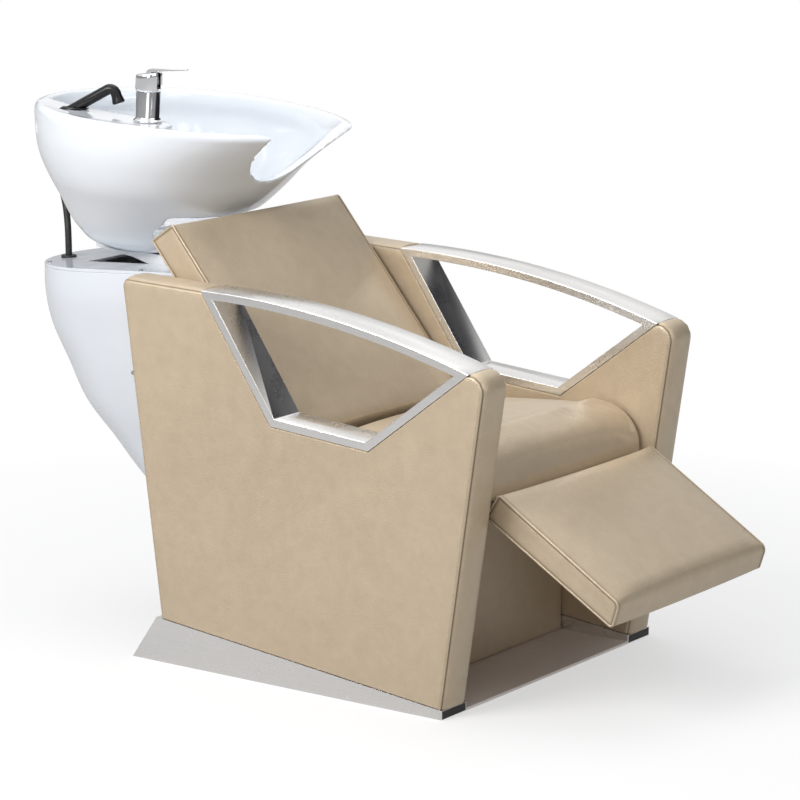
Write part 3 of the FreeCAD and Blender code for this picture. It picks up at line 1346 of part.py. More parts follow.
def shower_axis():
    rise, turn = math.radians(value("shower_rise_angle")), math.radians(value("shower_turn_angle"))
    return Vector(math.sin(turn) * math.cos(rise), -math.cos(turn) * math.cos(rise), math.sin(rise))


def axis_rod(radius, begin, end):
    return Part.makeCylinder(radius, end - begin, shower_place(begin), shower_axis())


def hose_exit():
    """The straight run of the hose through the basin's rear wall, in the basin's frame."""
    return (on_basin("-hose_inner_place", "hose_inner_station", "hose_inner_height"),
            on_basin("-hose_outer_place", "hose_outer_station", "hose_outer_height"))


def to_chair(place):
    """A place of the chair's frame for a place in the basin's."""
    lean = math.radians(value("basin_lean"))
    return Vector(place.x, value("hinge_station") + place.y * math.cos(lean) - place.z * math.sin(lean),
                  value("hinge_height") + place.y * math.sin(lean) + place.z * math.cos(lean))


# Corner of the hand shower and the middle of its face, off the axis: shares of its reach
HEAD_SHARES = (0.05, -0.11, -0.33)
# Route of the hose under the ledge, in the basin's frame, then behind the basin and in the shroud
LEDGE_HOSE_ROUTE = [(-170, 203, 226)]
HOSE_ROUTE = [(-64, 1136, 840), (-40, 1136, 800), (-52, 1112, 757)]
HOSE_END = [(-57, 1055, 588), (-40, 985, 552), (-25, 910, 540)]


def make_shower():
    outer, bore = value("holder_radius"), value("shower_radius + pin_clearance")
    reach = 4 * value("holder_height")
    top = value("rim_height + holder_lip")
    low = value("rim_height - holder_height")
    half = value("basin_half_width")
    slab = Part.makeBox(2 * half, 4 * half, top - low, Vector(-2 * half, -half, low))
    sleeve = axis_rod(outer, -reach, reach).common(slab).cut(axis_rod(bore, -2 * reach, 2 * reach))
    keep(shaped("shower_holder", sleeve), BASIN)
    length = value("shower_reach")
    corner = shower_place(length)
    across, along, up = HEAD_SHARES
    tip = corner + Vector(across * length, along * length, up * length)
    points = [shower_place(-value("shower_tail")), corner, tip]
    grip = tube(points, value("shower_radius"))
    facing = (tip - corner).normalize()
    flare = Part.makeCone(value("shower_radius"), value("spray_radius"), value("spray_flare"),
                          tip - facing * value("spray_flare"), facing)
    keep(shaped("hand_shower", grip.fuse(flare).removeSplitter()), BASIN)
    face = Part.makeCylinder(value("spray_radius - spray_sheet"), value("spray_sheet"), tip, facing)
    keep(shaped("spray_face", face), BASIN)
    inner, outer_end = hose_exit()
    tail = value("shower_tail")
    route = [shower_place(-tail), shower_place(-tail - value("hose_first_run"))]
    route += [Vector(*place) for place in LEDGE_HOSE_ROUTE] + [inner, outer_end]
    route = [to_chair(place) for place in route] + [Vector(*place) for place in HOSE_ROUTE]
    grommet = Vector(-value("grommet_place"), value("grommet_station"), value("grommet_height"))
    run = Vector(0, 0, value("grommet_run"))
    route += [grommet + run, grommet - run] + [Vector(*place) for place in HOSE_END]
    route.append(Vector(-value("hose_union_place"), value(f"{UNION_FACE} + hose_union_length"),
                        value("hose_union_height")))
    keep(shaped("shower_hose", tube(route, value("hose_radius"))))
    union = rod("hose_union_rod", ("-hose_union_place", f"{UNION_FACE} - column_wall", "hose_union_height"),
                "hose_union_radius", "hose_union_length + column_wall", "y")
    keep(group("hose_union", [union]))


# Tap, in a frame on the ledge's top: +Z is square to the ledge
TAP = ("-tap_place", "(hinge_station - tap_forward * cos(basin_lean) - rim_height * sin(basin_lean))",
       "(hinge_height - tap_forward * sin(basin_lean) + rim_height * cos(basin_lean))", "basin_lean")


def turned(name, outline, frame):
    """A body turned about +Z from its half profile: places off the axis and up."""
    body = body_of(name)
    sketch = sketch_on(body, f"{name}_profile", "XZ_Plane", "0", [outline])
    feature = body.newObject("PartDesign::Revolution", f"{name}_turned")
    feature.Profile = sketch
    feature.ReferenceAxis = (sketch, ["V_Axis"])
    feature.Angle = 360
    body.Tip = feature
    document.recompute()
    return body


def make_tap():
    socket = "(tap_spigot_radius + pin_clearance)"
    socket_low = "(tap_body_height - tap_spigot_depth - fit_gap)"
    body = turned("tap_body", [
        ("0", "-tap_shank_length"), ("tap_shank_radius", "-tap_shank_length"), ("tap_shank_radius", "0"),
        ("tap_flange_radius", "0"), ("tap_flange_radius", "tap_flange * 0.6"),
        ("tap_radius + (tap_flange_radius - tap_radius) * 0.4", "tap_flange"), ("tap_radius", "tap_flange * 2"),
        ("tap_radius", "tap_body_height"), (socket, "tap_body_height"), (socket, socket_low), ("0", socket_low)], TAP)
    keep(body, TAP)
    nut = body_of("tap_nut")
    top = "-ledge_thickness - tap_nut_height / 2"
    pad(nut, [[(f"tap_nut_radius * cos({turn} * 60)", f"tap_nut_radius * sin({turn} * 60)") for turn in range(6)]],
        "tap_nut_height", top, "XY_Plane")
    pocket(nut, [("0", "0", "tap_shank_radius + pin_clearance")], "4 * tap_nut_height", top, "XY_Plane")
    keep(nut, TAP)
    cap_low = "(tap_body_height + fit_gap)"
    cap_top = "(tap_body_height + tap_cap_height)"
    cap = turned("tap_cap", [
        ("0", "tap_body_height - tap_spigot_depth"), ("tap_spigot_radius", "tap_body_height - tap_spigot_depth"),
        ("tap_spigot_radius", cap_low), ("tap_radius", cap_low), ("tap_radius", f"{cap_top} - tap_cap_round"),
        ("tap_radius - tap_cap_round * 0.3", f"{cap_top} - tap_cap_round * 0.3"),
        ("tap_radius - tap_cap_round", cap_top), ("0", cap_top)], TAP)
    slot_low = "(lever_pivot_height - lever_boss_radius - fit_gap)"
    pocket(cap, [rectangle("-2 * tap_radius", slot_low, "lever_boss_radius + fit_gap", f"{cap_top} + overrun")],
           "lever_width + 2 * fit_gap")
    pocket(cap, [("0", "lever_pivot_height", "lever_pin_radius + pin_clearance")], "3 * tap_radius")
    keep(cap, TAP)
    lever = body_of("tap_lever")
    pad(lever, [("0", "lever_pivot_height", "lever_boss_radius")], "lever_width")
    tip = "(lever_pivot_height + lever_rise)"
    pad(lever, [[("0", "lever_pivot_height + lever_boss_radius - lever_sheet"), ("-lever_length", tip),
                 ("-lever_length", f"{tip} + lever_sheet"), ("0", "lever_pivot_height + lever_boss_radius")]],
        "lever_width")
    pocket(lever, [("0", "lever_pivot_height", "lever_pin_radius + pin_clearance")], "2 * lever_width")
    keep(lever, TAP)
    pin_half = "(tap_radius * 0.8)"
    keep(group("lever_pin", [rod("lever_pin_rod", (f"-{pin_half}", "0", "lever_pivot_height"), "lever_pin_radius",
                                 f"2 * {pin_half}", "x")]), TAP)


make_base()
make_panels()
make_arm_frames()
make_seat()
make_backrest()
make_front_panel()
make_leg_rest()
make_column()
make_shroud()
make_basin()
make_tilt()
make_shower()
make_tap()


# Check and write
def write_pieces():
    document.recompute()
    for item in document.Objects:
        if "Invalid" in item.State or "Error" in item.State:
            raise ValueError(f"{item.Label} failed: {item.State}")
    os.makedirs("parts", exist_ok=True)
    for piece in pieces:
        shape = piece.Shape
        if shape.isNull() or not shape.isValid() or not shape.Solids:
            raise ValueError(f"{piece.Label} has no valid solid")
        shape.exportStep(os.path.join("parts", f"{piece.Label}.step"))
    print(f"{len(pieces)} pieces written")


write_pieces()
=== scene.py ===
# %% [markdown]
# # Hair washing bed
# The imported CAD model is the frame. This script gives it its looks: padded leatherette, brushed steel,
# white glazed ceramic, chrome and a black hose. Lengths in the tables are in millimetres, measured from
# the front edge of the base, and `place` turns them into the frame's metres.

# %% The frame
import json
import math

import bmesh
import bpy
import numpy as np
from mathutils import Matrix, Vector
from mathutils.bvhtree import BVHTree


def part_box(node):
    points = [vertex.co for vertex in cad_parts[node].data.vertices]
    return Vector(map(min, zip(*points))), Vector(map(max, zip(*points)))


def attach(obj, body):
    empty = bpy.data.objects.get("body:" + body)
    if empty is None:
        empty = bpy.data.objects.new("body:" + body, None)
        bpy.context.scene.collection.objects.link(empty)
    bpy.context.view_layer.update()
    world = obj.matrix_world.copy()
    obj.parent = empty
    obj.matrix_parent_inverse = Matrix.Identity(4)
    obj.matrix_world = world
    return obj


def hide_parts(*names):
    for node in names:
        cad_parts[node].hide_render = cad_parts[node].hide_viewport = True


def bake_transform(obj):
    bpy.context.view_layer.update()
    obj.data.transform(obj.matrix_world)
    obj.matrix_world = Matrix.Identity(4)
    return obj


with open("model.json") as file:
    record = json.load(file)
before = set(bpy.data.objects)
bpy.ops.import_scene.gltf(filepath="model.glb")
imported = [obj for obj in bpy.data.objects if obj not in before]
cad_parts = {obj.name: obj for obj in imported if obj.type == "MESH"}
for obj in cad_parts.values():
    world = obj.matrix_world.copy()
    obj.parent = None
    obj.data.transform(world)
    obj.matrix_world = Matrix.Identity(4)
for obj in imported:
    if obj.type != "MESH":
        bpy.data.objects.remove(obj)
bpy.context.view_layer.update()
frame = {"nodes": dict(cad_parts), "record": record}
MM = 0.001
BASE_HALF = 353.5
HINGE, LEAN = Vector((0, 835, 690)), math.radians(3.5)


def place(x, y, z):
    """Millimetres from the base's front edge to the frame's metres."""
    return Vector((x, y - BASE_HALF, z)) * MM


# The basin is drawn upright around its hinge, and this matrix leans it back and sets it on the chair.
BASIN_MATRIX = Matrix.Translation(place(*HINGE)) @ Matrix.Rotation(LEAN, 4, "X") @ Matrix.Scale(MM, 4)


def on_basin(x, y, z):
    """A place in the basin's leaning frame, in millimetres, to the frame's metres."""
    return BASIN_MATRIX @ Vector((x, y, z))


def add_object(name, data):
    item = bpy.data.objects.new(name, data)
    bpy.context.scene.collection.objects.link(item)
    return item


# %% [markdown]
# ## Camera
# A product picture is taken from a distance with a long lens, which keeps upright edges nearly parallel.
# The camera could be placed by eye. Here it is set by what can be measured: the point that it looks at,
# the angle round the chair, the angle above the floor and the distance.

# %% Camera
camera_data = bpy.data.cameras.new("camera")
camera_data.lens = 149.74
camera_data.sensor_width = 36
camera_data.clip_end = 100
camera = add_object("camera", camera_data)
target = place(-54.2, 300, 489)
yaw, pitch, distance = math.radians(54.16), math.radians(11.47), 6.127
back = Vector((-math.sin(yaw) * math.cos(pitch), -math.cos(yaw) * math.cos(pitch), math.sin(pitch)))
camera.location = target + back * distance
camera.rotation_euler = (-back).to_track_quat("-Z", "Y").to_euler()
bpy.context.scene.camera = camera
bpy.context.scene.view_settings.view_transform = "Standard"
print("camera at", [round(part, 3) for part in camera.location])

# %% [markdown]
# ## Floor, surroundings and lamps
# The studio is a pale floor, white walls and four soft lamps. A modelled room could light the chair, but
# steel and chrome only need something to mirror, so the surroundings are a few soft patches of light and
# dark in the world's shader, seen by mirrored rays alone. The floor keeps the shadow near the chair and
# fades to plain white further out, where the camera sees it as light and not as paint.

# %% Node helpers
def new_node(tree, kind, at=(0, 0), **settings):
    node = tree.nodes.new(kind)
    node.location = at
    for name, setting in settings.items():
        setattr(node, name, setting)
    return node


def maths(tree, operation, first, second=None, third=None):
    """A Math node whose inputs are sockets or numbers."""
    node = new_node(tree, "ShaderNodeMath", operation=operation)
    for slot, given in enumerate((first, second, third)):
        if given is None:
            continue
        if isinstance(given, (int, float)):
            node.inputs[slot].default_value = given
        else:
            tree.links.new(given, node.inputs[slot])
    return node.outputs[0]


def ramp(tree, factor, stops):
    """A colour ramp through (place, colour) stops."""
    node = new_node(tree, "ShaderNodeValToRGB")
    elements = node.color_ramp.elements
    while len(elements) < len(stops):
        elements.new(0.5)
    for element, (position, colour) in zip(elements, stops):
        element.position = position
        element.color = (*colour, 1) if len(colour) == 3 else colour
    tree.links.new(factor, node.inputs[0])
    return node.outputs[0]


def mixed(tree, factor, low, high, at=(0, 0)):
    """A colour between two, each of them a socket or a plain colour."""
    mix = new_node(tree, "ShaderNodeMix", at, data_type="RGBA")
    tree.links.new(factor, mix.inputs[0])
    for slot, given in ((6, low), (7, high)):
        if isinstance(given, tuple):
            mix.inputs[slot].default_value = (*given, 1)
        else:
            tree.links.new(given, mix.inputs[slot])
    return mix.outputs[2]


def fresh_tree(owner):
    """The empty node tree of a new world or material."""
    owner.use_nodes = True
    owner.node_tree.nodes.clear()
    return owner.node_tree


print("node helpers:", [helper.__name__ for helper in (new_node, maths, ramp, mixed, fresh_tree)])

# %% Surroundings
world = bpy.data.worlds.new("studio")
bpy.context.scene.world = world
tree = fresh_tree(world)
path = new_node(tree, "ShaderNodeLightPath")
direction = new_node(tree, "ShaderNodeTexCoord")
split = new_node(tree, "ShaderNodeSeparateXYZ")
tree.links.new(direction.outputs["Generated"], split.inputs[0])
height = maths(tree, "MULTIPLY_ADD", split.outputs[2], 0.5, 0.5)
open_sky = ramp(tree, height, [(0.0, (0.9, 0.9, 0.9)), (0.47, (0.66, 0.66, 0.67)), (0.53, (0.26, 0.26, 0.27)),
                               (0.60, (0.40, 0.40, 0.41)), (0.70, (0.75, 0.75, 0.75)),
                               (0.78, (1.0, 1.0, 1.0))])


def patch(towards, first, last):
    """How far a direction lies inside a round patch of the surroundings."""
    facing = new_node(tree, "ShaderNodeVectorMath", operation="DOT_PRODUCT")
    tree.links.new(direction.outputs["Generated"], facing.inputs[0])
    facing.inputs[1].default_value = Vector(towards).normalized()
    spread = new_node(tree, "ShaderNodeMapRange", interpolation_type="SMOOTHSTEP")
    spread.inputs["From Min"].default_value = first
    spread.inputs["From Max"].default_value = last
    tree.links.new(facing.outputs["Value"], spread.inputs["Value"])
    return spread.outputs[0]


def background(colour, strength=1.0):
    node = new_node(tree, "ShaderNodeBackground")
    node.inputs["Color"].default_value = (*colour, 1)
    node.inputs["Strength"].default_value = strength
    return node


def chosen(tree, share, usual, other):
    """The other shader by the share, over the usual one."""
    mix = new_node(tree, "ShaderNodeMixShader")
    for slot, socket in enumerate((share, usual, other)):
        tree.links.new(socket, mix.inputs[slot])
    return mix.outputs[0]


bright_side = mixed(tree, patch((0.76, 0.40, 0.50), 0.86, 0.95), open_sky, (1.0, 1.0, 1.0))
glossy_look = mixed(tree, patch((0.80, -0.56, 0.20), 0.70, 0.90), bright_side, (0.02, 0.02, 0.026))
seen, soft, mirror = background((1, 1, 1)), background((0.93, 0.96, 1.0), 0.5), background((1, 1, 1))
tree.links.new(glossy_look, mirror.inputs["Color"])
plain = maths(tree, "MAXIMUM", path.outputs["Is Camera Ray"], path.outputs["Is Transmission Ray"])
lit = chosen(tree, path.outputs["Is Glossy Ray"], soft.outputs[0], mirror.outputs[0])
whole = chosen(tree, plain, lit, seen.outputs[0])
tree.links.new(whole, new_node(tree, "ShaderNodeOutputWorld").inputs[0])
print("surroundings:", len(tree.nodes), "nodes")

# %% Floor
FADE_START, FADE_END = 0.5, 1.9
CAMERA_GREY, BOUNCE_GREY = (0.86, 0.86, 0.86), (0.40, 0.39, 0.38)


def make_floor():
    mesh = bpy.data.meshes.new("studio_floor")
    reach = 40
    corners = [(-reach, -reach, 0), (reach, -reach, 0), (reach, reach, 0), (-reach, reach, 0)]
    mesh.from_pydata(corners, [], [(0, 1, 2, 3)])
    floor = add_object("studio_floor", mesh)
    material = bpy.data.materials.new("studio_floor")
    tree = fresh_tree(material)
    rays = new_node(tree, "ShaderNodeLightPath")
    coordinates = new_node(tree, "ShaderNodeTexCoord")
    length = new_node(tree, "ShaderNodeVectorMath", operation="LENGTH")
    tree.links.new(coordinates.outputs["Object"], length.inputs[0])
    far = new_node(tree, "ShaderNodeMapRange")
    far.inputs["From Min"].default_value = FADE_START
    far.inputs["From Max"].default_value = FADE_END
    far.inputs["To Min"].default_value = 0.55
    tree.links.new(length.outputs["Value"], far.inputs["Value"])
    share = maths(tree, "MULTIPLY", rays.outputs["Is Camera Ray"], far.outputs[0])
    bounce = maths(tree, "SUBTRACT", 1.0, rays.outputs["Is Camera Ray"])
    matte = new_node(tree, "ShaderNodeBsdfDiffuse")
    tree.links.new(mixed(tree, bounce, CAMERA_GREY, BOUNCE_GREY), matte.inputs["Color"])
    bright = new_node(tree, "ShaderNodeEmission")
    bright.inputs["Strength"].default_value = 1.0
    mirrored = maths(tree, "MULTIPLY", rays.outputs["Is Glossy Ray"], 0.5)
    surface = chosen(tree, maths(tree, "MAXIMUM", share, mirrored), matte.outputs[0], bright.outputs[0])
    tree.links.new(surface, new_node(tree, "ShaderNodeOutputMaterial").inputs[0])
    mesh.materials.append(material)
    return floor


floor = make_floor()
print("floor:", floor.name, "fades out between", FADE_START, "and", FADE_END, "m")

# %% Lamps
def lamp(name, at, towards, size, power, colour=(1, 1, 1)):
    data = bpy.data.lights.new(name, "AREA")
    data.shape = "RECTANGLE"
    data.size, data.size_y = size
    data.energy = power
    data.color = colour
    item = add_object(name, data)
    item.location = at
    item.rotation_euler = (Vector(towards) - Vector(at)).to_track_quat("-Z", "Y").to_euler()


lamp("key", (-2.5, 0.55, 2.25), (-0.2, 0.1, 0.6), (1.5, 1.2), 70, (1, 0.98, 0.965))
lamp("side", (-3.4, -1.6, 1.9), (0, -0.1, 0.5), (1.6, 1.6), 13, (1, 0.98, 0.95))
lamp("front", (-0.5, -3.2, 2.0), (0, 0, 0.5), (2.4, 0.8), 17, (1, 0.98, 0.95))
lamp("top", (0.4, 0.6, 3.4), (0, 0.2, 0.6), (2.4, 2.4), 30)

# %% [markdown]
# ## Materials
# Effects that several materials share are node groups that give a height, a mask or a colour factor.
# Each material has its own Principled shader, and what is even all over is set on the shader's sockets.

# %% Shared effects
def effect(name, inputs, outputs):
    """An empty shader group with named inputs and outputs."""
    group = bpy.data.node_groups.new(name, "ShaderNodeTree")
    for label, kind, default in inputs:
        socket = group.interface.new_socket(label, in_out="INPUT", socket_type="NodeSocket" + kind)
        if default is not None:
            socket.default_value = default
    for label, kind in outputs:
        group.interface.new_socket(label, in_out="OUTPUT", socket_type="NodeSocket" + kind)
    return group, new_node(group, "NodeGroupInput"), new_node(group, "NodeGroupOutput")


def noise(tree, vector, scale, detail=3.0, roughness=0.5, distortion=0.0):
    node = new_node(tree, "ShaderNodeTexNoise")
    node.inputs["Detail"].default_value = detail
    node.inputs["Roughness"].default_value = roughness
    node.inputs["Distortion"].default_value = distortion
    tree.links.new(vector, node.inputs["Vector"])
    if isinstance(scale, (int, float)):
        node.inputs["Scale"].default_value = scale
    else:
        tree.links.new(scale, node.inputs["Scale"])
    return node.outputs["Fac"]


def make_leather_effect():
    """Pebbled hide: cells with creases between them, finer grain on them, and slow undulation below."""
    group, given, result = effect("leather_grain", [("Vector", "Vector", None), ("Scale", "Float", 420.0)],
                                  [("Grain", "Float"), ("Undulation", "Float"), ("Mottle", "Float")])
    cells = new_node(group, "ShaderNodeTexVoronoi", feature="SMOOTH_F1")
    cells.inputs["Smoothness"].default_value = 0.35
    group.links.new(given.outputs["Vector"], cells.inputs["Vector"])
    group.links.new(given.outputs["Scale"], cells.inputs["Scale"])
    fine = noise(group, given.outputs["Vector"], maths(group, "MULTIPLY", given.outputs["Scale"], 2.3), 2)
    pebbles = maths(group, "SUBTRACT", 1.0, cells.outputs["Distance"])
    grain = maths(group, "MULTIPLY_ADD", fine, 0.35, pebbles)
    group.links.new(grain, result.inputs["Grain"])
    group.links.new(noise(group, given.outputs["Vector"], 7.0, 2), result.inputs["Undulation"])
    patches = noise(group, given.outputs["Vector"], 34.0, 5, 0.62, 0.4)
    broad = noise(group, given.outputs["Vector"], 5.0, 2)
    group.links.new(maths(group, "MULTIPLY_ADD", patches, 0.65, maths(group, "MULTIPLY", broad, 0.35)),
                    result.inputs["Mottle"])
    return group


def make_brushed_effect():
    """Fine parallel scratches: noise drawn out along one axis by the Stretch input."""
    group, given, result = effect("brushed_lines",
                                  [("Vector", "Vector", None), ("Stretch", "Vector", (6.0, 6.0, 900.0))],
                                  [("Lines", "Float"), ("Smear", "Float")])
    drawn = new_node(group, "ShaderNodeVectorMath", operation="MULTIPLY")
    group.links.new(given.outputs["Vector"], drawn.inputs[0])
    group.links.new(given.outputs["Stretch"], drawn.inputs[1])
    lines = noise(group, drawn.outputs[0], 1.0, 3, 0.6)
    group.links.new(lines, result.inputs["Lines"])
    group.links.new(noise(group, given.outputs["Vector"], 14.0, 4, 0.6), result.inputs["Smear"])
    return group


def make_wear_effect():
    """Light handling marks: thin smudges that only lift the roughness."""
    group, given, result = effect("handling", [("Vector", "Vector", None), ("Scale", "Float", 20.0)],
                                  [("Smudge", "Float"), ("Ripple", "Float")])
    smudge = noise(group, given.outputs["Vector"], given.outputs["Scale"], 5, 0.6, 0.6)
    spread = new_node(group, "ShaderNodeMapRange")
    spread.inputs["From Min"].default_value = 0.42
    spread.inputs["From Max"].default_value = 0.72
    group.links.new(smudge, spread.inputs["Value"])
    group.links.new(spread.outputs[0], result.inputs["Smudge"])
    group.links.new(noise(group, given.outputs["Vector"], 9.0, 1), result.inputs["Ripple"])
    return group


LEATHER, BRUSHED, HANDLING = make_leather_effect(), make_brushed_effect(), make_wear_effect()
print("effects:", [group.name for group in bpy.data.node_groups])


# %% Material builders
def begin(name, **sockets):
    """A material with a Principled shader and object coordinates."""
    material = bpy.data.materials.new(name)
    tree = fresh_tree(material)
    shader = new_node(tree, "ShaderNodeBsdfPrincipled", (300, 0))
    output = new_node(tree, "ShaderNodeOutputMaterial", (600, 0))
    tree.links.new(shader.outputs[0], output.inputs[0])
    for label, setting in sockets.items():
        shader.inputs[label.replace("_", " ")].default_value = setting
    coordinates = new_node(tree, "ShaderNodeTexCoord", (-900, 0))
    return material, tree, shader, coordinates.outputs["Object"]


def use_effect(tree, group, vector, **settings):
    node = new_node(tree, "ShaderNodeGroup", (-600, 0))
    node.node_tree = group
    tree.links.new(vector, node.inputs["Vector"])
    for label, setting in settings.items():
        node.inputs[label].default_value = setting
    return node.outputs


def tint(tree, factor, dark, light, shader):
    """Base colour between a darker and a lighter tone."""
    tree.links.new(mixed(tree, factor, dark, light, (-100, 200)), shader.inputs["Base Color"])


def between(tree, factor, low, high, socket):
    spread = new_node(tree, "ShaderNodeMapRange", (-100, -100))
    spread.inputs["To Min"].default_value = low
    spread.inputs["To Max"].default_value = high
    tree.links.new(factor, spread.inputs["Value"])
    tree.links.new(spread.outputs[0], socket)


def raise_by(tree, heights, shader, coat=False):
    """Chains bump nodes: each entry is a height socket and its depth in metres."""
    normal = None
    for socket, depth in heights:
        bump = new_node(tree, "ShaderNodeBump", (0, -300))
        bump.inputs["Distance"].default_value = depth
        tree.links.new(socket, bump.inputs["Height"])
        if normal is not None:
            tree.links.new(normal, bump.inputs["Normal"])
        normal = bump.outputs[0]
    tree.links.new(normal, shader.inputs["Normal"])
    if coat:
        tree.links.new(normal, shader.inputs["Coat Normal"])


print("material builders:", [helper.__name__ for helper in (begin, use_effect, tint, between, raise_by)])

# %% [markdown]
# ### Leatherette
# The cover is vinyl pressed with a hide's pebbled grain, with a little pearl in its colour, so it shines
# softly and looks lighter where it faces the light. A photograph of hide would repeat and stretch; cells
# and noise in the object's own coordinates don't. Beside a seam the skin dips into a groove, and the shade
# there is painted: the panel builder writes its weight into the mesh as an attribute, and the colour darkens where
# it is high.

# %% Leatherette and thread
GRAIN_DEPTH, UNDULATION_DEPTH = 0.00035, 0.0022


def leatherette(name, dark, light, seam_shade):
    """Pearl leatherette. A point attribute weights the painted shade in the seams' grooves, and turns it darker and
    duller there.
    """
    material, tree, shader, vector = begin(name, Metallic=0.3, Specular_IOR_Level=0.5, Coat_Weight=0.12,
                                           Coat_Roughness=0.34)
    hide = use_effect(tree, LEATHER, vector, Scale=430.0)
    hue = mixed(tree, hide["Mottle"], dark, light, (-100, 200))
    # Painted shade: the attribute's weight darkens the colour towards the last colour given, where a seam's groove
    # lies in shade.
    seam_shade_weights = new_node(tree, "ShaderNodeAttribute", (-300, 300), attribute_name="seam_shade_weights")
    depth = maths(tree, "MULTIPLY", seam_shade_weights.outputs["Fac"], 0.85)
    tree.links.new(mixed(tree, depth, hue, seam_shade, (50, 200)), shader.inputs["Base Color"])
    between(tree, hide["Grain"], 0.52, 0.36, shader.inputs["Roughness"])
    raise_by(tree, [(hide["Undulation"], UNDULATION_DEPTH), (hide["Grain"], GRAIN_DEPTH)], shader, True)
    return material


def rubbery(name, dark, light, rough=(0.5, 0.68)):
    """Rubber and thread: dull, with a fine pitted surface."""
    material, tree, shader, vector = begin(name, Specular_IOR_Level=0.4)
    marks = use_effect(tree, HANDLING, vector, Scale=60.0)
    tint(tree, marks["Ripple"], dark, light, shader)
    between(tree, marks["Smudge"], *rough, shader.inputs["Roughness"])
    raise_by(tree, [(noise(tree, vector, 900.0, 2), 0.00008)], shader)
    return material


# The last colour is the painted shade in the seams' grooves.
leather = leatherette("leatherette", (0.45, 0.355, 0.245), (0.645, 0.535, 0.39), (0.11, 0.07, 0.04))
thread = rubbery("thread", (0.42, 0.34, 0.23), (0.52, 0.43, 0.30))
print("soft materials:", leather.name, thread.name)

# %% [markdown]
# ### Metals
# Sheet and flat bar are brushed along their length, so highlights stretch across the lines. The lines are
# noise drawn out by a thousand to one, which follows the piece wherever it turns. The base plate's shader is
# only partly metal, and its pale pinkish colour is painted reflection of the leatherette and the bright light
# above, so it looks paler and duller than the arms.

# %% Metals
def brushed(name, colour, stretch, rough=(0.2, 0.36), depth=0.00006, metallic=1.0):
    material, tree, shader, vector = begin(name, Metallic=metallic, Anisotropic=0.65)
    lines = use_effect(tree, BRUSHED, vector, Stretch=stretch)
    dark = tuple(part * 0.82 for part in colour)
    tint(tree, lines["Lines"], dark, colour, shader)
    between(tree, lines["Smear"], *rough, shader.inputs["Roughness"])
    raise_by(tree, [(lines["Lines"], depth)], shader)
    return material


steel_along = brushed("stainless_along", (0.85, 0.84, 0.825), (900.0, 6.0, 900.0))
# Painted reflection: the plate's pale pinkish colour and partly diffuse shader stand in for what its steel mirrors.
steel_plate = brushed("stainless_plate", (0.95, 0.87, 0.83), (900.0, 5.0, 900.0), (0.36, 0.48), metallic=0.3)
zinc = brushed("galvanised", (0.52, 0.53, 0.55), (60.0, 60.0, 60.0), (0.35, 0.5))
brass = brushed("brass", (0.70, 0.55, 0.28), (80.0, 80.0, 80.0), (0.25, 0.4))
print("metals:", steel_along.name, steel_plate.name, zinc.name, brass.name)

# %% [markdown]
# ### Glaze, shell, chrome, paint, plastic and board
# These are smooth all over and differ in colour, shine and clear coat. A plain shader would look like
# computer graphics, so each gets faint smudges in its roughness, and glaze and shell also get a ripple far
# too shallow to see as shape, which bends the reflections a little as a fired or moulded surface does.

# %% Smooth finishes and board
def smooth_hard(name, dark, light, rough, metallic=0.0, coat=0.0, ripple=0.0, scale=20.0, **more):
    """Moulded plastic, glaze, paint or chrome: even colour, faint smudges, very shallow ripple."""
    material, tree, shader, vector = begin(name, Metallic=metallic, Coat_Weight=coat, Coat_Roughness=0.04, **more)
    marks = use_effect(tree, HANDLING, vector, Scale=scale)
    tint(tree, marks["Ripple"], dark, light, shader)
    between(tree, marks["Smudge"], *rough, shader.inputs["Roughness"])
    if ripple:
        raise_by(tree, [(marks["Ripple"], ripple)], shader)
    return material


def grained_board(name):
    """Plywood: the brushed lines, broader, serve as wood grain."""
    material, tree, shader, vector = begin(name, Specular_IOR_Level=0.3)
    lines = use_effect(tree, BRUSHED, vector, Stretch=(90.0, 9.0, 90.0))
    tint(tree, lines["Lines"], (0.30, 0.19, 0.10), (0.56, 0.41, 0.25), shader)
    between(tree, lines["Smear"], 0.6, 0.8, shader.inputs["Roughness"])
    raise_by(tree, [(lines["Lines"], 0.0002)], shader)
    return material


ceramic = smooth_hard("glazed_ceramic", (0.71, 0.75, 0.80), (0.76, 0.795, 0.835), (0.05, 0.11), coat=0.6,
                      ripple=0.0008, scale=9.0)
shell = smooth_hard("white_shell", (0.70, 0.74, 0.80), (0.74, 0.78, 0.83), (0.14, 0.24), coat=0.35, ripple=0.0006)
chrome = smooth_hard("chrome", (0.80, 0.81, 0.82), (0.88, 0.88, 0.89), (0.03, 0.12), metallic=1.0, scale=70.0)
dark_plastic = smooth_hard("black_plastic", (0.006, 0.006, 0.007), (0.012, 0.012, 0.013), (0.24, 0.38), scale=50.0,
                           Specular_IOR_Level=0.28)
rubber = rubbery("black_rubber", (0.012, 0.012, 0.012), (0.03, 0.03, 0.03))
dark_paint = smooth_hard("black_paint", (0.018, 0.018, 0.02), (0.035, 0.035, 0.038), (0.3, 0.45), scale=40.0)
white_paint = smooth_hard("white_paint", (0.78, 0.80, 0.83), (0.84, 0.86, 0.88), (0.2, 0.32), coat=0.3, scale=40.0)
board = grained_board("plywood")
MATERIAL_OF = {
    "stainless": steel_along, "painted_steel": dark_paint, "galvanised": zinc, "leatherette": leather,
    "board": board, "ceramic": ceramic, "white_shell": shell, "chrome": chrome, "black_plastic": dark_plastic,
    "black_rubber": rubber, "brass": brass, "white_steel": white_paint,
}
print("materials:", len(bpy.data.materials))

# %% [markdown]
# ## The frame's own pieces
# Steel, boards, screws and fittings keep their CAD shape. They could be modelled again, but their solids
# are exact, and what they lack is only what light needs: a CAD mesh is loose triangles with knife edges.
# Welding the points and a bevel of about a millimetre let the edges catch the light as real edges do.

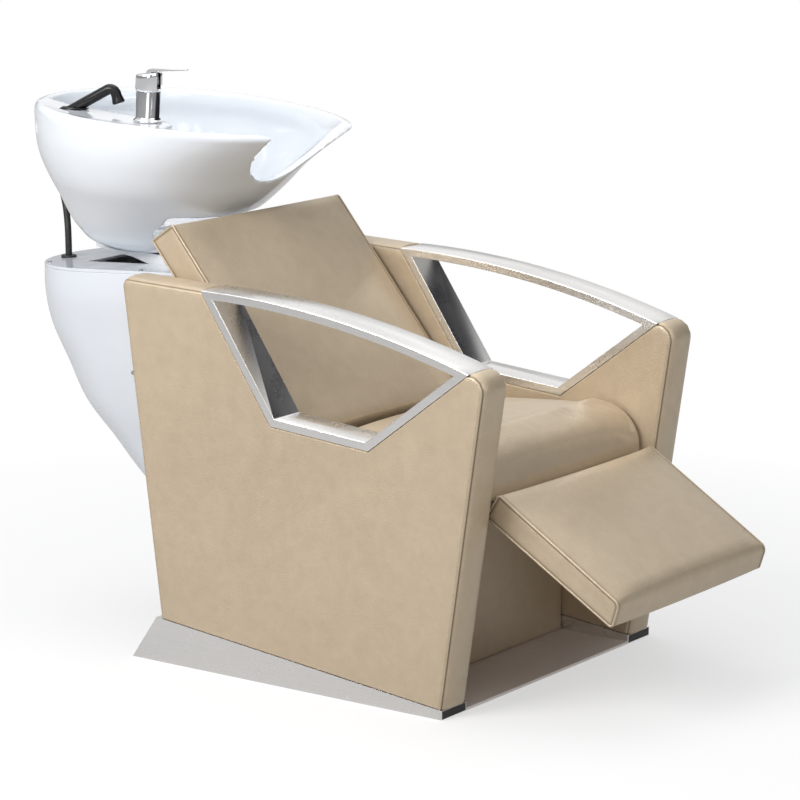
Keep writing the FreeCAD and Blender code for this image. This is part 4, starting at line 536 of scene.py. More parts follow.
# %% Finish the CAD pieces
BEVELS = {"base_plate": 0.8, "right_plinth": 1.2, "left_plinth": 1.2, "right_arm_frame": 1.6,
          "left_arm_frame": 1.6, "shroud_cover": 2.2, "tap_body": 0.8, "tilt_plate": 1.5, "column": 1.0}
SMALL_BEVEL = 0.4
WELD_REACH = 0.00002


def only_material(item, material):
    item.data.materials.clear()
    item.data.materials.append(material)


def add_bevel(item, width, degrees):
    """Rounds every edge whose faces meet at more than the angle."""
    bevel = item.modifiers.new("bevel", "BEVEL")
    bevel.width = width * MM
    bevel.segments = 3
    bevel.limit_method = "ANGLE"
    bevel.angle_limit = math.radians(degrees)
    bevel.harden_normals = True


def finish_node(item, material, width):
    only_material(item, material)
    item.modifiers.new("weld", "WELD").merge_threshold = WELD_REACH
    add_bevel(item, width, 32)


slots = {part["node"]: part["material_slot"] for part in frame["record"]["subparts"]}
for node, item in frame["nodes"].items():
    finish_node(item, MATERIAL_OF[slots[node]], BEVELS.get(node, SMALL_BEVEL))
frame["nodes"]["base_plate"].data.materials[0] = steel_plate
print("finished nodes:", len(frame["nodes"]))


# %% [markdown]
# ## Outlines
# Every upholstered piece of this chair is a flat outline with a soft edge. The edge could be a bevel, but a
# bevel has no seam in it. So the outline is drawn as a ring, drawn in further and set further out ring by
# ring, and the rings are bridged with faces. All rings of one outline have the same count of points.

# %% Rings of an outline
def inset_ring(corners, radii, scales, inset, steps=6, spans=None):
    """The outline drawn in by the inset times each edge's scale, with the same count of points each time.

    Spans gives the count of parts that each straight edge is cut into.
    """
    count = len(corners)
    area = sum(a[0] * b[1] - b[0] * a[1] for a, b in zip(corners, corners[1:] + corners[:1]))
    side = 1 if area > 0 else -1
    lines = []
    for index in range(count):
        a, b = Vector(corners[index]), Vector(corners[(index + 1) % count])
        along = (b - a).normalized()
        inward = Vector((-along.y, along.x)) * side
        lines.append((a + inward * inset * scales[index], along))
    arcs = []
    for index in range(count):
        (p, u), (q, v) = lines[index - 1], lines[index]
        cross = u.x * v.y - u.y * v.x
        distance = ((q - p).x * v.y - (q - p).y * v.x) / cross
        corner = p + u * distance
        convex = cross * side > 0
        drawn = inset * min(scales[index - 1], scales[index])
        radius = max(radii[index] - drawn, 0.15) if convex else radii[index] + drawn
        turn = math.acos(max(-1, min(1, u.dot(v))))
        reach = radius * math.tan(turn / 2)
        start, end = corner - u * reach, corner + v * reach
        bisector = (v - u).normalized()
        centre = corner + bisector * (radius / math.cos(turn / 2))
        first, last = start - centre, end - centre
        arms = [first.lerp(last, (1 - math.cos(math.pi * step / steps)) / 2) for step in range(steps + 1)]
        arcs.append([centre + arm.normalized() * radius for arm in arms])
    points = []
    for index, bend in enumerate(arcs):
        following = arcs[(index + 1) % count]
        parts = spans[index] if spans else 1
        points += bend + [bend[-1].lerp(following[0], step / parts) for step in range(1, parts)]
    return points


# %% Meshes from rings
def object_of(name, vertices, faces, material, seam_shade_weights=None):
    """A mesh object. Its optional weights, from 0 to 1, give how much painted shade darkens each point in a seam's
    groove.
    """
    mesh = bpy.data.meshes.new(name)
    mesh.from_pydata([tuple(vertex) for vertex in vertices], [], faces)
    if seam_shade_weights:
        mesh.attributes.new("seam_shade_weights", "FLOAT", "POINT").data.foreach_set("value", seam_shade_weights)
    mesh.validate()
    item = add_object(name, mesh)
    mesh.materials.append(material)
    mesh.shade_smooth()
    return item


def bridge(rings, closed=True):
    """Vertices and quads between rings of the same count; the ends are filled where closed."""
    count = len(rings[0])
    vertices = [vertex for ring in rings for vertex in ring]
    faces = []
    for level in range(len(rings) - 1):
        for index in range(count):
            after = (index + 1) % count
            faces.append((level * count + index, level * count + after,
                          (level + 1) * count + after, (level + 1) * count + index))
    if closed:
        faces.append(tuple(reversed(range(count))))
        faces.append(tuple((len(rings) - 1) * count + index for index in range(count)))
    return vertices, faces


def tidy(item, distance=0.00005):
    """Merges doubled points and points the faces outwards."""
    mesh = bmesh.new()
    mesh.from_mesh(item.data)
    bmesh.ops.remove_doubles(mesh, verts=mesh.verts, dist=distance)
    bmesh.ops.recalc_face_normals(mesh, faces=mesh.faces)
    mesh.to_mesh(item.data)
    mesh.free()
    item.data.shade_smooth()
    return item


unit_square = [(0, 0), (100, 0), (100, 100), (0, 100)]
print("a square of 100 drawn in by 10 starts at", inset_ring(unit_square, [12] * 4, [1] * 4, 10)[0])

# %% [markdown]
# ## Side panels
# Each panel is a board in a padded sleeve. A band runs round its edge, and a sunk seam joins the band to
# each side face, a little in from the edge. At the notch and the foot the sleeve ends flat on the steel.
# Cloth would wrinkle at the notch's corners. A profile of rings gives the bulge of the band and the seam's
# groove at the same place all round, and each edge of the outline takes its own share of the inset.

# %% Panels
PANEL_CORNERS = [(0, 17), (-90, 622), (-54, 622), (160, 461), (376, 479), (534, 710), (722, 716), (639, 84)]
PANEL_RADII = [3, 30, 1, 3, 3, 2, 14, 5]
# Each edge's share of the inset: the front, the short top, the notch's three sides, the rear top, the rear
# and the foot
PANEL_EDGE_SHARES = [1, 1, 0.2, 0.2, 0.2, 1, 1, 0.2]
# Inset from the edge, distance from the panel's middle plane, and the weight of painted shade in the seam's groove
PANEL_PROFILE = [(-3.2, 0, 0), (-3.0, 10, 0), (-2.4, 19, 0), (-1.3, 26, 0), (0.2, 30.6, 0),
                 (1.7, 33.0, 0.15), (3.0, 33.9, 0.8), (3.6, 34.5, 1), (3.5, 35.3, 0.8), (4.3, 36.6, 0.15),
                 (6.4, 37.7, 0), (10, 38.3, 0), (17, 38.5, 0), (24, 38.2, 0), (28, 38, 0)]
PANEL_MIDDLE, PANEL_REACH = 307, 38.5


def make_panel(side, sign):
    rings, seam_shade_weights = [], []
    for face in (-1, 1):
        profile = PANEL_PROFILE if face > 0 else PANEL_PROFILE[:0:-1]
        for inset, out, seam_shade in profile:
            outline = inset_ring(PANEL_CORNERS, PANEL_RADII, PANEL_EDGE_SHARES, inset)
            rings.append([place(sign * PANEL_MIDDLE + face * out, point.x, point.y) for point in outline])
            seam_shade_weights += [seam_shade] * len(outline)
    panel = tidy(object_of(f"{side}_panel_upholstery", *bridge(rings), leather, seam_shade_weights=seam_shade_weights))
    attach(panel, "frame")
    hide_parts(f"{side}_panel_cover")
    return panel


panels = [make_panel("right", -1), make_panel("left", 1)]
print("panel faces:", [len(panel.data.polygons) for panel in panels])


# %% [markdown]
# ## Cushions
# The seat is a block of foam with a rounded nose. The back and the leg rest are boxed cushions: a strip
# runs round their outline, and a piped seam joins it to each flat side. Sculpting them would leave marks of
# the hand. Instead each is inflated as cloth with no gravity, as foam fills its cover, which gives the crown
# and the soft edges. How far a point may move is capped, and the seams and undersides are held.

# %% Cloth and mesh helpers
CLOTH_FRAMES = 20


def evaluated_mesh(item):
    """A plain mesh of what the object's modifiers make."""
    bpy.context.view_layer.update()
    return bpy.data.meshes.new_from_object(item.evaluated_get(bpy.context.evaluated_depsgraph_get()))


def bake(item):
    """Replaces the mesh by what its modifiers make of it."""
    result = evaluated_mesh(item)
    item.modifiers.clear()
    item.data = result
    result.shade_smooth()


def coordinates_of(mesh):
    flat = np.zeros(len(mesh.vertices) * 3, np.float32)
    mesh.vertices.foreach_get("co", flat)
    return flat.reshape(-1, 3)


def set_coordinates(mesh, points):
    mesh.vertices.foreach_set("co", np.ascontiguousarray(points, np.float32).ravel())
    mesh.update()


def swell(item, cap, held=None, pressure=4.0):
    """Inflates the mesh as cloth. Held points stay, and no point moves further than the cap."""
    before = coordinates_of(item.data)
    cloth = item.modifiers.new("cloth", "CLOTH")
    if held is not None:
        group = item.vertex_groups.new(name="held")
        group.add([int(index) for index in np.flatnonzero(held)], 1, "REPLACE")
        cloth.settings.vertex_group_mass = "held"
    cloth.settings.quality = 4
    cloth.settings.use_pressure = True
    cloth.settings.uniform_pressure_force = pressure
    cloth.settings.effector_weights.gravity = 0
    cloth.point_cache.frame_start, cloth.point_cache.frame_end = 1, CLOTH_FRAMES
    scene = bpy.context.scene
    for step in range(1, CLOTH_FRAMES + 1):
        scene.frame_set(step)
    bake(item)
    scene.frame_set(1)
    item.vertex_groups.clear()
    after = coordinates_of(item.data)
    move = after - before
    length = np.linalg.norm(move, axis=1, keepdims=True)
    print(item.name, "moved up to", round(float(length.max()) * 1000, 1), "mm, capped at", round(cap * 1000, 1))
    set_coordinates(item.data, before + move * np.minimum(1, cap / np.maximum(length, 1e-9)))


def declare_cushion(item, node, body):
    only_material(item, leather)
    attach(item, body)
    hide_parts(node)


def cut_by(item, tools):
    for tool in tools:
        modifier = item.modifiers.new("cut", "BOOLEAN")
        modifier.operation = "DIFFERENCE"
        modifier.solver = "EXACT"
        modifier.object = tool
        bake(item)
        bpy.data.objects.remove(tool)


def block_of(name, low, high):
    """A box between two places."""
    (a, b, c), (d, e, f) = low, high
    ring = [(a, b), (d, b), (d, e), (a, e)]
    return tidy(object_of(name, *bridge([[Vector((x, y, z)) for x, y in ring] for z in (c, f)]), leather))


def remeshed(item, voxel, rounds):
    """One even skin of small faces, smoothed, so that every edge is rolled."""
    remesh = item.modifiers.new("remesh", "REMESH")
    remesh.mode = "VOXEL"
    remesh.voxel_size = voxel
    item.modifiers.new("relax", "SMOOTH").iterations = rounds
    bake(item)


print("cloth runs for", CLOTH_FRAMES, "frames", "")

# %% Seat cushion
SEAT_VOXEL, SEAT_CAP, SEAT_HELD = 0.005, 0.006, 0.03
SEAT_SLACK = 0.0024


def make_seat():
    """The CAD solid drawn in a little, remeshed and inflated above its held foot."""
    source = frame["nodes"]["seat_cushion"]
    seat = add_object("seat_pad", source.data.copy())
    seat.data.transform(source.matrix_world)
    low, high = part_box("seat_cushion")
    centre, size = (low + high) / 2, high - low
    factor = Vector([1 - SEAT_SLACK / length for length in size])
    seat.data.transform(Matrix.Translation(centre) @ Matrix.Diagonal(factor).to_4x4() @ Matrix.Translation(-centre))
    tidy(seat)
    remeshed(seat, SEAT_VOXEL, 3)
    points = coordinates_of(seat.data)
    swell(seat, SEAT_CAP, held=points[:, 2] < low.z + SEAT_HELD)
    declare_cushion(seat, "seat_cushion", "frame")
    return seat


seat = make_seat()
print("seat points:", len(seat.data.vertices))

# %% Boxed cushions
BACK_HALF, LEG_HALF = 255, 252
# Held by the cloth: this far in from each side, and everything deeper than this below the face
SEAM_HELD, FACE_DEPTH = 7, 26


def piped_edge(half, bead):
    """Inset, reach from the side's middle and weight of painted seam shade: side face, groove, piping, groove."""
    centre = bead * 0.75
    side = [(20, half, 0), (15, half + 0.3, 0), (9, half, 0), (5.9, half - 0.4, 0.3), (4.7, half - 1.1, 1)]
    arc = [(centre - bead * math.sin(math.radians(angle)), half - centre + bead * math.cos(math.radians(angle)), 0)
           for angle in (-32, -8, 16, 45, 74, 98, 122)]
    return side + arc + [(1.0, half - 4.4, 0.9), (0.4, half - 5.6, 0.3), (0, half - 8.5, 0)]


def boxed(name, corners, radii, spans, half, bead, crown, bow, origin, angle, count=34):
    """A cushion across X in its own frame, from the outline of its side, and the matrix that sets it on the chair.

    Crown lifts the middle of the face, and bow pushes out the middle of the end that shows.
    """
    edge = piped_edge(half, bead)
    across = list(np.linspace(-edge[-1][1], edge[-1][1], count))[1:-1]
    profile = [(inset, -out, seam_shade) for inset, out, seam_shade in edge] + [(0, out, 0) for out in across] + edge[::-1]
    rings, seam_shade_weights = [], []
    for inset, out, seam_shade in profile:
        outline = inset_ring(corners, radii, [1] * len(corners), inset, 7, spans)
        rings.append([Vector((out, point.x, point.y)) for point in outline])
        seam_shade_weights += [seam_shade] * len(outline)
    item = tidy(object_of(name, *bridge(rings), leather, seam_shade_weights=seam_shade_weights), 0.01)
    points = coordinates_of(item.data)
    low, high = min(corner[0] for corner in corners), max(corner[0] for corner in corners)
    top = max(corner[1] for corner in corners)
    middle, reach = (low + high) / 2, (high - low) / 2
    width = 1 - (points[:, 0] / half) ** 2
    over = np.clip((points[:, 2] - top + 12) / 12, 0, 1)
    dome = width * (1 - ((points[:, 1] - middle) / reach) ** 2)
    points[:, 2] += crown * over * np.clip(dome, 0, 1) ** 0.6
    end = np.clip(((points[:, 1] - middle) * np.sign(bow) / reach - 0.7) / 0.3, 0, 1)
    points[:, 1] += bow * np.clip(width, 0, 1) ** 0.8 * end ** 2
    set_coordinates(item.data, points)
    matrix = Matrix.Translation(place(*origin)) @ Matrix.Rotation(math.radians(angle), 4, "X") @ Matrix.Scale(MM, 4)
    return item, matrix


def finish_boxed(item, matrix, half, top, cap, hollows):
    """Cuts the hollows in the underside, inflates between the seams and sets the cushion on the chair."""
    cut_by(item, hollows)
    item.data.transform(matrix)
    back = np.array(matrix.inverted())
    local = coordinates_of(item.data) @ back[:3, :3].T + back[:3, 3]
    held = (np.abs(local[:, 0]) > half - SEAM_HELD) | (local[:, 2] < top - FACE_DEPTH)
    swell(item, cap, held)


print("side profile of a boxed cushion:", len(piped_edge(BACK_HALF, 1.6)), "points")

# %% Back and leg rest
PAD_CAP = 0.004
BACK_CORNERS, BACK_RADII = [(0, -60), (477, -60), (471, 1), (0, 1)], [3, 3, 7, 6]
back_pad, back_matrix = boxed("backrest_pad", BACK_CORNERS, BACK_RADII, [36, 5, 36, 5], BACK_HALF, 1.6, 6, 4,
                              (0, 373, 443), 50.5)
board_room = block_of("board_room", (-232, 14, -80), (232, 455, -43))
finish_boxed(back_pad, back_matrix, BACK_HALF, 4, PAD_CAP, [board_room])
declare_cushion(back_pad, "backrest_cushion", "frame")
LEG_CORNERS, LEG_RADII = [(-293, -6), (16.3, -11.5), (16.3, 41.5), (-281, 41.5)], [7, 3, 7, 15]
leg_pad, leg_matrix = boxed("leg_rest_pad", LEG_CORNERS, LEG_RADII, [24, 4, 24, 3], LEG_HALF, 2.2, 5, -3,
                            (0, -45, 352), 32.2)
hollows = [block_of("board_room", (-240, -248.7, -40), (240, -13, 14.5))]
hollows += [block_of("hinge_room", (side * 190 - 23, -14, -40), (side * 190 + 23, 40, 13)) for side in (-1, 1)]
finish_boxed(leg_pad, leg_matrix, LEG_HALF, 46, PAD_CAP, hollows)
declare_cushion(leg_pad, "leg_rest_cushion", "leg_rest")
print("back and leg rest points:", len(back_pad.data.vertices), len(leg_pad.data.vertices))

# %% [markdown]
# ## Stitches
# A row of stitches holds the leatherette beside each seam. They could be a pattern in the material, but a
# thread lies on the skin and casts its own small shadow. A Geometry Nodes tree lays one short thread after
# another along a curve, so one tree serves every seam and the spacing is one number. The curve is first
# settled on the surface that it runs over, because the cloth has moved that surface.

# %% Stitch tree
def make_stitch_tree():
    """Lays six-sided threads of nearly equal length along a curve."""
    group = bpy.data.node_groups.new("stitch_row", "GeometryNodeTree")
    group.interface.new_socket("Geometry", in_out="INPUT", socket_type="NodeSocketGeometry")
    for label, default in (("Spacing", 0.0065), ("Length", 0.0046), ("Radius", 0.00042)):
        group.interface.new_socket(label, in_out="INPUT", socket_type="NodeSocketFloat").default_value = default
    group.interface.new_socket("Seed", in_out="INPUT", socket_type="NodeSocketInt").default_value = 3
    group.interface.new_socket("Material", in_out="INPUT", socket_type="NodeSocketMaterial")
    group.interface.new_socket("Geometry", in_out="OUTPUT", socket_type="NodeSocketGeometry")
    given, result = new_node(group, "NodeGroupInput"), new_node(group, "NodeGroupOutput")
    steps = new_node(group, "GeometryNodeResampleCurve", mode="LENGTH")
    tangent = new_node(group, "GeometryNodeInputTangent")
    align = new_node(group, "FunctionNodeAlignRotationToVector", axis="Z")
    one = new_node(group, "GeometryNodeMeshCylinder")
    one.inputs["Vertices"].default_value = 6
    vary = new_node(group, "FunctionNodeRandomValue", data_type="FLOAT")
    vary.inputs[2].default_value, vary.inputs[3].default_value = 0.9, 1.06
    place_all = new_node(group, "GeometryNodeInstanceOnPoints")
    realize, paint = new_node(group, "GeometryNodeRealizeInstances"), new_node(group, "GeometryNodeSetMaterial")
    for source, target in ((given.outputs["Geometry"], steps.inputs["Curve"]),
                           (given.outputs["Spacing"], steps.inputs["Length"]),
                           (tangent.outputs[0], align.inputs["Vector"]),
                           (given.outputs["Radius"], one.inputs["Radius"]),
                           (given.outputs["Length"], one.inputs["Depth"]),
                           (given.outputs["Seed"], vary.inputs["Seed"]),
                           (steps.outputs[0], place_all.inputs["Points"]),
                           (one.outputs["Mesh"], place_all.inputs["Instance"]),
                           (align.outputs[0], place_all.inputs["Rotation"]),
                           (vary.outputs[1], place_all.inputs["Scale"]),
                           (place_all.outputs[0], realize.inputs[0]),
                           (realize.outputs[0], paint.inputs["Geometry"]),
                           (given.outputs["Material"], paint.inputs["Material"]),
                           (paint.outputs[0], result.inputs["Geometry"])):
        group.links.new(source, target)
    return group


STITCH_TREE = make_stitch_tree()
STITCH_INPUTS = {socket.name: socket.identifier for socket in STITCH_TREE.interface.items_tree
                 if socket.in_out == "INPUT"}
print("stitch tree inputs:", list(STITCH_INPUTS))

# %% Stitch rows
# How far the rows lie in from the panel's edge and from a cushion's side, and how high over the skin
PANEL_STITCH_INSET, PAD_STITCH_INSET, STITCH_LIFT = 7.6, 8.4, 0.0001


def stitch(name, rows, carrier, body):
    """Stitches along closed rows of points, each settled on the carrier's surface."""
    surface = BVHTree.FromObject(carrier, bpy.context.evaluated_depsgraph_get())
    curve = bpy.data.curves.new(name, "CURVE")
    curve.dimensions = "3D"
    for row in rows:
        spline = curve.splines.new("POLY")
        spline.points.add(len(row) - 1)
        spline.use_cyclic_u = True
        for point, position in zip(spline.points, row):
            spot, normal, _, _ = surface.find_nearest(position)
            point.co = (*(spot + normal * STITCH_LIFT), 1)
    line = add_object(name + "_line", curve)
    threads = line.modifiers.new("stitches", "NODES")
    threads.node_group = STITCH_TREE
    threads[STITCH_INPUTS["Material"]] = thread
    mesh = evaluated_mesh(line)
    bpy.data.objects.remove(line)
    item = add_object(name, mesh)
    mesh.shade_smooth()
    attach(item, body)
    print(name, "faces:", len(mesh.polygons))


def panel_rows(sign):
    outline = inset_ring(PANEL_CORNERS, PANEL_RADII, PANEL_EDGE_SHARES, PANEL_STITCH_INSET,
                         spans=[60, 1, 20, 18, 24, 16, 60, 60])
    return [[place(sign * PANEL_MIDDLE + face * PANEL_REACH, point.x, point.y) for point in outline]
            for face in (-1, 1)]


def pad_rows(corners, radii, half, matrix):
    outline = inset_ring(corners, radii, [1] * len(corners), 0, 7, [40] * len(corners))
    reach = half - PAD_STITCH_INSET
    return [[matrix @ Vector((side * reach, point.x, point.y)) for point in outline] for side in (-1, 1)]


for panel, side, sign in zip(panels, ("right", "left"), (-1, 1)):
    stitch(f"{side}_panel_stitches", panel_rows(sign), panel, "frame")
stitch("backrest_stitches", pad_rows(BACK_CORNERS, BACK_RADII, BACK_HALF, back_matrix), back_pad, "frame")
stitch("leg_rest_stitches", pad_rows(LEG_CORNERS, LEG_RADII, LEG_HALF, leg_matrix), leg_pad, "leg_rest")

# %% [markdown]
# ## Lower front panel
# An upholstered board closes the box under the seat. It lies in the leg rest's shadow and shows little, so
# no cloth is run for it: a few rings, each further in and further out, roll its edge over thin wadding.

# %% Lower front panel
# Inset from the edge, and the share of the pad's depth that the ring stands out
WADDING_PROFILE = [(0, 0), (0.2, 0.5), (1.6, 0.8), (4, 0.93), (9, 0.98), (16, 1.0), (26, 1.0)]


def padded_board(name, node, body, radius=7):
    """A flat pad across X and Z in place of the node, with a rolled front and rounded corners."""
    low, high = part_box(node)
    low, high = low / MM, high / MM
    corners = [(low.x, low.z), (high.x, low.z), (high.x, high.z), (low.x, high.z)]
    depth = high.y - low.y
    rings = []
    for inset, out in WADDING_PROFILE:
        outline = inset_ring(corners, [radius] * 4, [1] * 4, inset)
        rings.append([Vector((point.x, high.y - depth * out, point.y)) * MM for point in outline])
    item = tidy(object_of(name, *bridge(rings), leather))
    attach(item, body)
    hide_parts(node)
    return item


front = padded_board("front_panel_upholstery", "front_panel_cover", "frame")
print("front panel faces:", len(front.data.polygons))

# %% [markdown]
# ## Basin
# The basin is one casting of glazed ceramic: an outer body of flowing ovals, a bowl, a ledge for the tap
# and a round recess for the neck. A subdivided cage could give it, but its lips meet in awkward places. So
# the solid is cut from plain forms, then remeshed and relaxed, which rolls every lip as glaze does.

# %% Ovals and rods
# Height, half width, middle, front and rear of each oval, in the basin's frame
OUTSIDE = [(294, 254, 63, -325, 327), (287, 260, 63, -327, 330), (272, 264, 63, -303, 325),
           (243, 268, 63, -256, 318), (205, 264, 63, -205, 307), (160, 248, 63, -160, 282),
           (128, 226, 66, -127, 266), (62, 178, 77, -52, 230), (40, 158, 78, -34, 205), (26, 128, 80, -24, 185)]
BOWL = [(312, 240, 63, -312, 314), (294, 238, 63, -310, 312), (272, 239, 63, -275, 300),
        (243, 251, 63, -234, 302), (205, 248, 63, -185, 291), (160, 231, 63, -139, 266),
        (128, 208, 66, -105, 249), (62, 145, 77, -20, 201), (56, 100, 91, 14, 185)]
LEDGE_CORNERS = [(-232, -100), (-140, -62), (-130, 143), (-120, 223), (-95, 292), (-85, 368), (-330, 368),
                 (-330, -100)]
LEDGE_RADII = [6, 38, 20, 30, 30, 4, 4, 4]


def eased(table, height):
    """Row of the table at a height, on smooth curves through its rows."""
    rows = np.array(sorted(table), float)
    z = rows[:, 0]
    slopes = np.gradient(rows[:, 1:], z, axis=0)
    index = int(np.clip(np.searchsorted(z, height) - 1, 0, len(z) - 2))
    span = z[index + 1] - z[index]
    t = (height - z[index]) / span
    h = ((1 + 2 * t) * (1 - t) ** 2, t * (1 - t) ** 2, t * t * (3 - 2 * t), t * t * (t - 1))
    return (h[0] * rows[index, 1:] + h[1] * span * slopes[index] + h[2] * rows[index + 1, 1:]
            + h[3] * span * slopes[index + 1])


def oval(height, row, count=96):
    half, middle, front_end, rear_end = row
    points = []
    for step in range(count):
        angle = math.tau * step / count
        up = math.sin(angle)
        reach = rear_end - middle if up > 0 else middle - front_end
        points.append(Vector((half * math.cos(angle), middle + reach * up, height)))
    return points


def ovals(name, table, levels):
    heights = np.linspace(min(row[0] for row in table), max(row[0] for row in table), levels)
    return tidy(object_of(name, *bridge([oval(z, eased(table, z)) for z in heights]), ceramic))


def circle(centre, axis, across, radius, count):
    up = axis.cross(across)
    turns = [math.tau * step / count for step in range(count)]
    return [centre + (across * math.cos(turn) + up * math.sin(turn)) * radius for turn in turns]


def rod_of(name, start, end, radius, count=64):
    axis = (end - start).normalized()
    across = axis.orthogonal().normalized()
    rings = [circle(centre, axis, across, radius, count) for centre in (start, end)]
    return tidy(object_of(name, *bridge(rings), ceramic))


print("ovals of the outside and the bowl:", len(OUTSIDE), len(BOWL))

# %% Basin
# The hand shower lies along its own slanted axis, from its foot in the ledge
SHOWER_RISE, SHOWER_TURN = math.radians(32), math.radians(25)
SHOWER_AXIS = Vector((math.sin(SHOWER_TURN) * math.cos(SHOWER_RISE), -math.cos(SHOWER_TURN) * math.cos(SHOWER_RISE),
                      math.sin(SHOWER_RISE)))
SHOWER_FOOT = Vector((-172, 162, 294))
LEDGE_HEIGHT, NECK_RADIUS, BASIN_VOXEL = 293, 125, 0.004


def make_basin():
    outer = ovals("basin_ceramic", OUTSIDE, 60)
    hollow = ovals("hollow", BOWL, 60)
    outline = inset_ring(LEDGE_CORNERS, LEDGE_RADII, [0] * len(LEDGE_CORNERS), 0, 8)
    rings = [[Vector((point.x, point.y, z)) for point in outline] for z in (-20, LEDGE_HEIGHT)]
    ledge = tidy(object_of("ledge", *bridge(rings), ceramic))
    cut_by(hollow, [ledge])
    recess = rod_of("recess", Vector((0, -450, 310)), Vector((0, 20, 310)), NECK_RADIUS)
    drain = rod_of("drain", Vector((0, 100, -10)), Vector((0, 100, 90)), 24)
    exit_hole = rod_of("exit_hole", Vector((-128, 219, 175)), Vector((-70, 288, 131)), 9)
    shower_bore = rod_of("shower_bore", SHOWER_FOOT + SHOWER_AXIS * 30, SHOWER_FOOT - SHOWER_AXIS * 86, 10.5)
    cut_by(outer, [hollow, recess, drain, exit_hole, shower_bore])
    outer.data.transform(BASIN_MATRIX)
    remeshed(outer, BASIN_VOXEL, 14)
    only_material(outer, ceramic)
    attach(outer, "basin_assembly")
    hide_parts("basin")
    return outer


basin = make_basin()
print("basin faces:", len(basin.data.polygons))

# %% [markdown]
# ## Rear shroud
# A moulded shell hides the column and the pipes. It is one flowing surface, open towards the backrest, with
# a flat lid. A loft through a few sections gives it, as in the mould maker's drawing: each section is a
# half circle with straight sides, and smooth curves run through the sections' sizes from the foot up.

# %% Rear shroud
# Height, half width, rear end and front edge of each section
SHROUD = [(61.6, 100, 689, 493), (89.3, 105, 695, 495), (149.5, 113, 771, 500), (228.4, 126, 866, 505),
          (302.4, 140, 947, 510), (350.8, 150, 991, 520), (414.5, 165, 1052, 540), (500.3, 180, 1097.5, 560),
          (576.4, 190, 1135.4, 600), (651.2, 200, 1148, 655), (692, 200, 1148, 682)]
SHROUD_WALL, SHROUD_LEVELS = 4, 48
SIDE_PARTS, ROUND_PARTS = 8, 40
LID_SLOPE = math.tan(math.radians(3.4))


def shroud_ring(share, inset):
    """Half ring from the left mouth round the rear to the right mouth, at a share of the height."""
    low, high = SHROUD[0][0], SHROUD[-1][0]
    z = low + (high - low) * share
    half, rear, mouth = eased(SHROUD, z)
    half, rear = half - inset, rear - inset
    turn = rear - half
    points = [Vector((half, mouth + (turn - mouth) * step / SIDE_PARTS, z)) for step in range(SIDE_PARTS)]
    for step in range(ROUND_PARTS + 1):
        angle = math.pi * step / ROUND_PARTS
        points.append(Vector((half * math.cos(angle), turn + half * math.sin(angle), z)))
    points += [Vector((-half, turn + (mouth - turn) * step / SIDE_PARTS, z)) for step in range(1, SIDE_PARTS + 1)]
    for point in points:
        point.z -= share ** 3 * (point.y - HINGE.y) * LID_SLOPE
    return [place(*point) for point in points]


def make_shroud():
    loops = []
    for share in np.linspace(0, 1, SHROUD_LEVELS):
        loops.append(shroud_ring(share, 0) + shroud_ring(share, SHROUD_WALL)[::-1])
    item = tidy(object_of("shroud_shell", *bridge(loops, closed=False), shell))
    mesh = bmesh.new()
    mesh.from_mesh(item.data)
    edges = [edge for edge in mesh.edges if edge.is_boundary]
    bmesh.ops.holes_fill(mesh, edges=edges, sides=0)
    mesh.to_mesh(item.data)
    mesh.free()
    add_bevel(item, 1.4, 50)
    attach(item, "frame")
    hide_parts("rear_shroud")
    return item


shroud = make_shroud()
print("shroud faces:", len(shroud.data.polygons))

# %% [markdown]
# ## Shower hose
# The hose leaves the hand shower's tail under the ledge, comes out of the ceramic at the rear and drops
# through the grommet to its union on the column. A NURBS line through a few places gives an even bend, as
# rubber takes. The tube is skinned along it without twist, and it bends where the basin tilts, between its
# way out of the ceramic and the grommet. A short tail of the same tube rides on the hand shower.

# %% Route of the hose
HOSE_RADIUS, HOSE_SIDES, TAIL_FIT = 6.5, 20, 0.98
GROMMET = (-62, 1097)
HOSE_EXIT = (-84, 270, 142)


def hose_route():
    tail = [on_basin(*(SHOWER_FOOT + SHOWER_AXIS * along)) for along in (-20, -46)]
    inside = [on_basin(-170, 203, 226), on_basin(-140, 208, 184), on_basin(*HOSE_EXIT)]
    outside = [place(-56, 1122, 826), place(-44, 1120, 792), place(-54, 1106, 757)]
    grommet = [place(*GROMMET, 724.4), place(*GROMMET, 634.4)]
    down = [place(-57, 1055, 588), place(-40, 985, 552), place(-25, 910, 540), UNION]
    return tail + inside + outside + grommet + down


low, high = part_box("hose_union")
UNION = Vector(((low.x + high.x) / 2, high.y, (low.z + high.z) / 2))


def nurbs_line(name, points):
    curve = bpy.data.curves.new(name, "CURVE")
    curve.dimensions = "3D"
    spline = curve.splines.new("NURBS")
    spline.points.add(len(points) - 1)
    for point, position in zip(spline.points, points):
        point.co = (*position, 1)
    spline.order_u = 3
    spline.use_endpoint_u = True
    spline.resolution_u = 10
    return add_object(name, curve)


hose_line = nurbs_line("hose_line", hose_route())
hose_path = [vertex.co.copy() for vertex in evaluated_mesh(hose_line).vertices]
bpy.data.objects.remove(hose_line)


# %% Hose and tail
def tube_mesh(name, points, radius, material, count=HOSE_SIDES):
    """A tube along the points. Each ring's first direction follows from the last ring's, so it can't twist."""
    rings = []
    across = (points[1] - points[0]).orthogonal().normalized()
    for index, point in enumerate(points):
        before, after = points[max(index - 1, 0)], points[min(index + 1, len(points) - 1)]
        axis = (after - before).normalized()
        across = (across - axis * across.dot(axis)).normalized()
        rings.append(circle(point, axis, across, radius, count))
    return tidy(object_of(name, *bridge(rings), material), 0.00001)


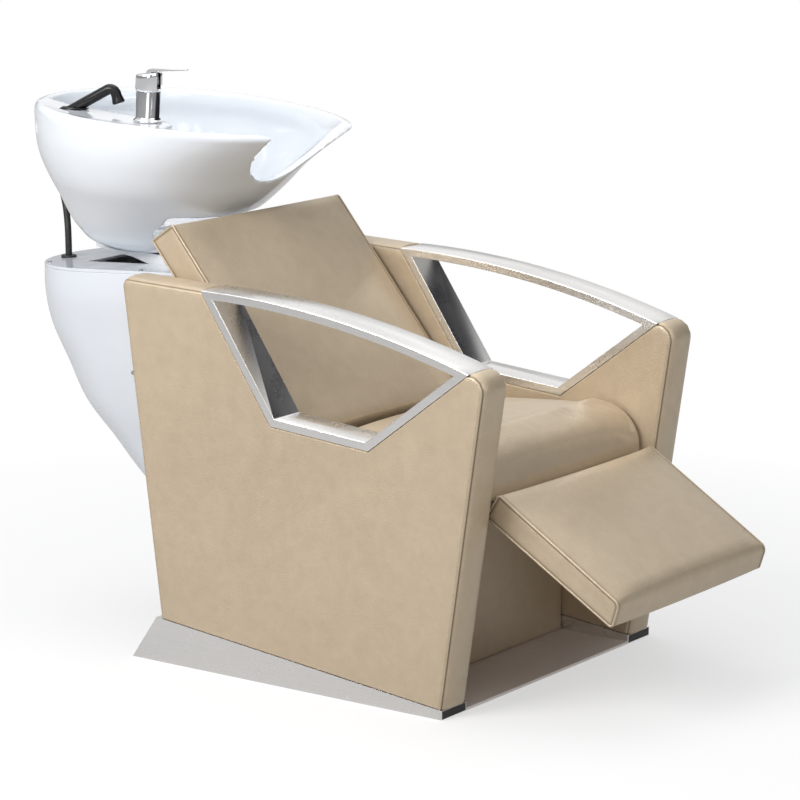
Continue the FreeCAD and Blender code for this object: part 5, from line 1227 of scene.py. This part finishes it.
hose = tube_mesh("shower_hose_black", hose_path, HOSE_RADIUS * MM, rubber)
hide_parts("shower_hose")
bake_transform(hose)
tail_path = [on_basin(*(SHOWER_FOOT + SHOWER_AXIS * along)) for along in (-16, -45, -74)]
tail = tube_mesh("shower_hose_tail", tail_path, HOSE_RADIUS * MM * TAIL_FIT, rubber)
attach(tail, "handset")
print("hose and tail faces:", len(hose.data.polygons), len(tail.data.polygons))

# %% [markdown]
# ## Tap
# A mixer tap: the cap turns for warmth and the lever lifts for flow. The body below is the CAD's own. The
# cap is turned on a lathe, so it is built of circles, with a top that slopes up to the front, and it is cut
# through for the lever. The lever is a flat bar bent along one side outline, drawn across by its width.

# %% Tap cap and lever
TAP_MATRIX = BASIN_MATRIX @ Matrix.Translation((-174, -22, 294))
# Radius and height of each ring of the cap, and its share of the top's slope
CAP_RINGS = [(22.4, 56.4, 0), (23.2, 57.0, 0), (24.6, 59.5, 0), (25, 62, 0), (25, 80, 0.8), (24.8, 86.5, 1),
             (24.0, 88.3, 1), (22.6, 89.2, 1), (19, 89.8, 1), (12, 90.2, 1)]
CAP_SLOPE, LEVER_HALF = 0.16, 4.5
# Side outline of the lever: station and height over the ledge
LEVER_SIDE = [(5, 66), (5.5, 86), (3, 95), (-4, 98.5), (-30, 100.8), (-90, 107.8), (-92, 106.9), (-91, 105.2),
              (-30, 96.6), (-8, 92), (-5, 84), (-5, 66)]


def finish_small(item, node, body, width):
    item.data.transform(TAP_MATRIX)
    add_bevel(item, width, 35)
    only_material(item, chrome)
    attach(item, body)
    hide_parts(node)
    return item


def make_cap(count=64):
    turns = [math.tau * step / count for step in range(count)]
    rings = []
    for radius, height, slope in CAP_RINGS:
        rings.append([Vector((radius * math.cos(turn), radius * math.sin(turn),
                              height - slope * CAP_SLOPE * radius * math.sin(turn))) for turn in turns])
    cap = tidy(object_of("tap_cap_chrome", *bridge(rings), chrome), 0.001)
    cut_by(cap, [block_of("slot", (-5.2, -40, 63), (5.2, 13.5, 120))])
    return finish_small(cap, "tap_cap", "tap_top", 0.5)


def make_lever():
    rings = [[Vector((across, y, z)) for y, z in LEVER_SIDE] for across in (-LEVER_HALF, LEVER_HALF)]
    lever = tidy(object_of("tap_lever_chrome", *bridge(rings), chrome), 0.001)
    return finish_small(lever, "tap_lever", "lever", 0.9)


tap = [make_cap(), make_lever()]
print("tap pieces:", [piece.name for piece in tap])
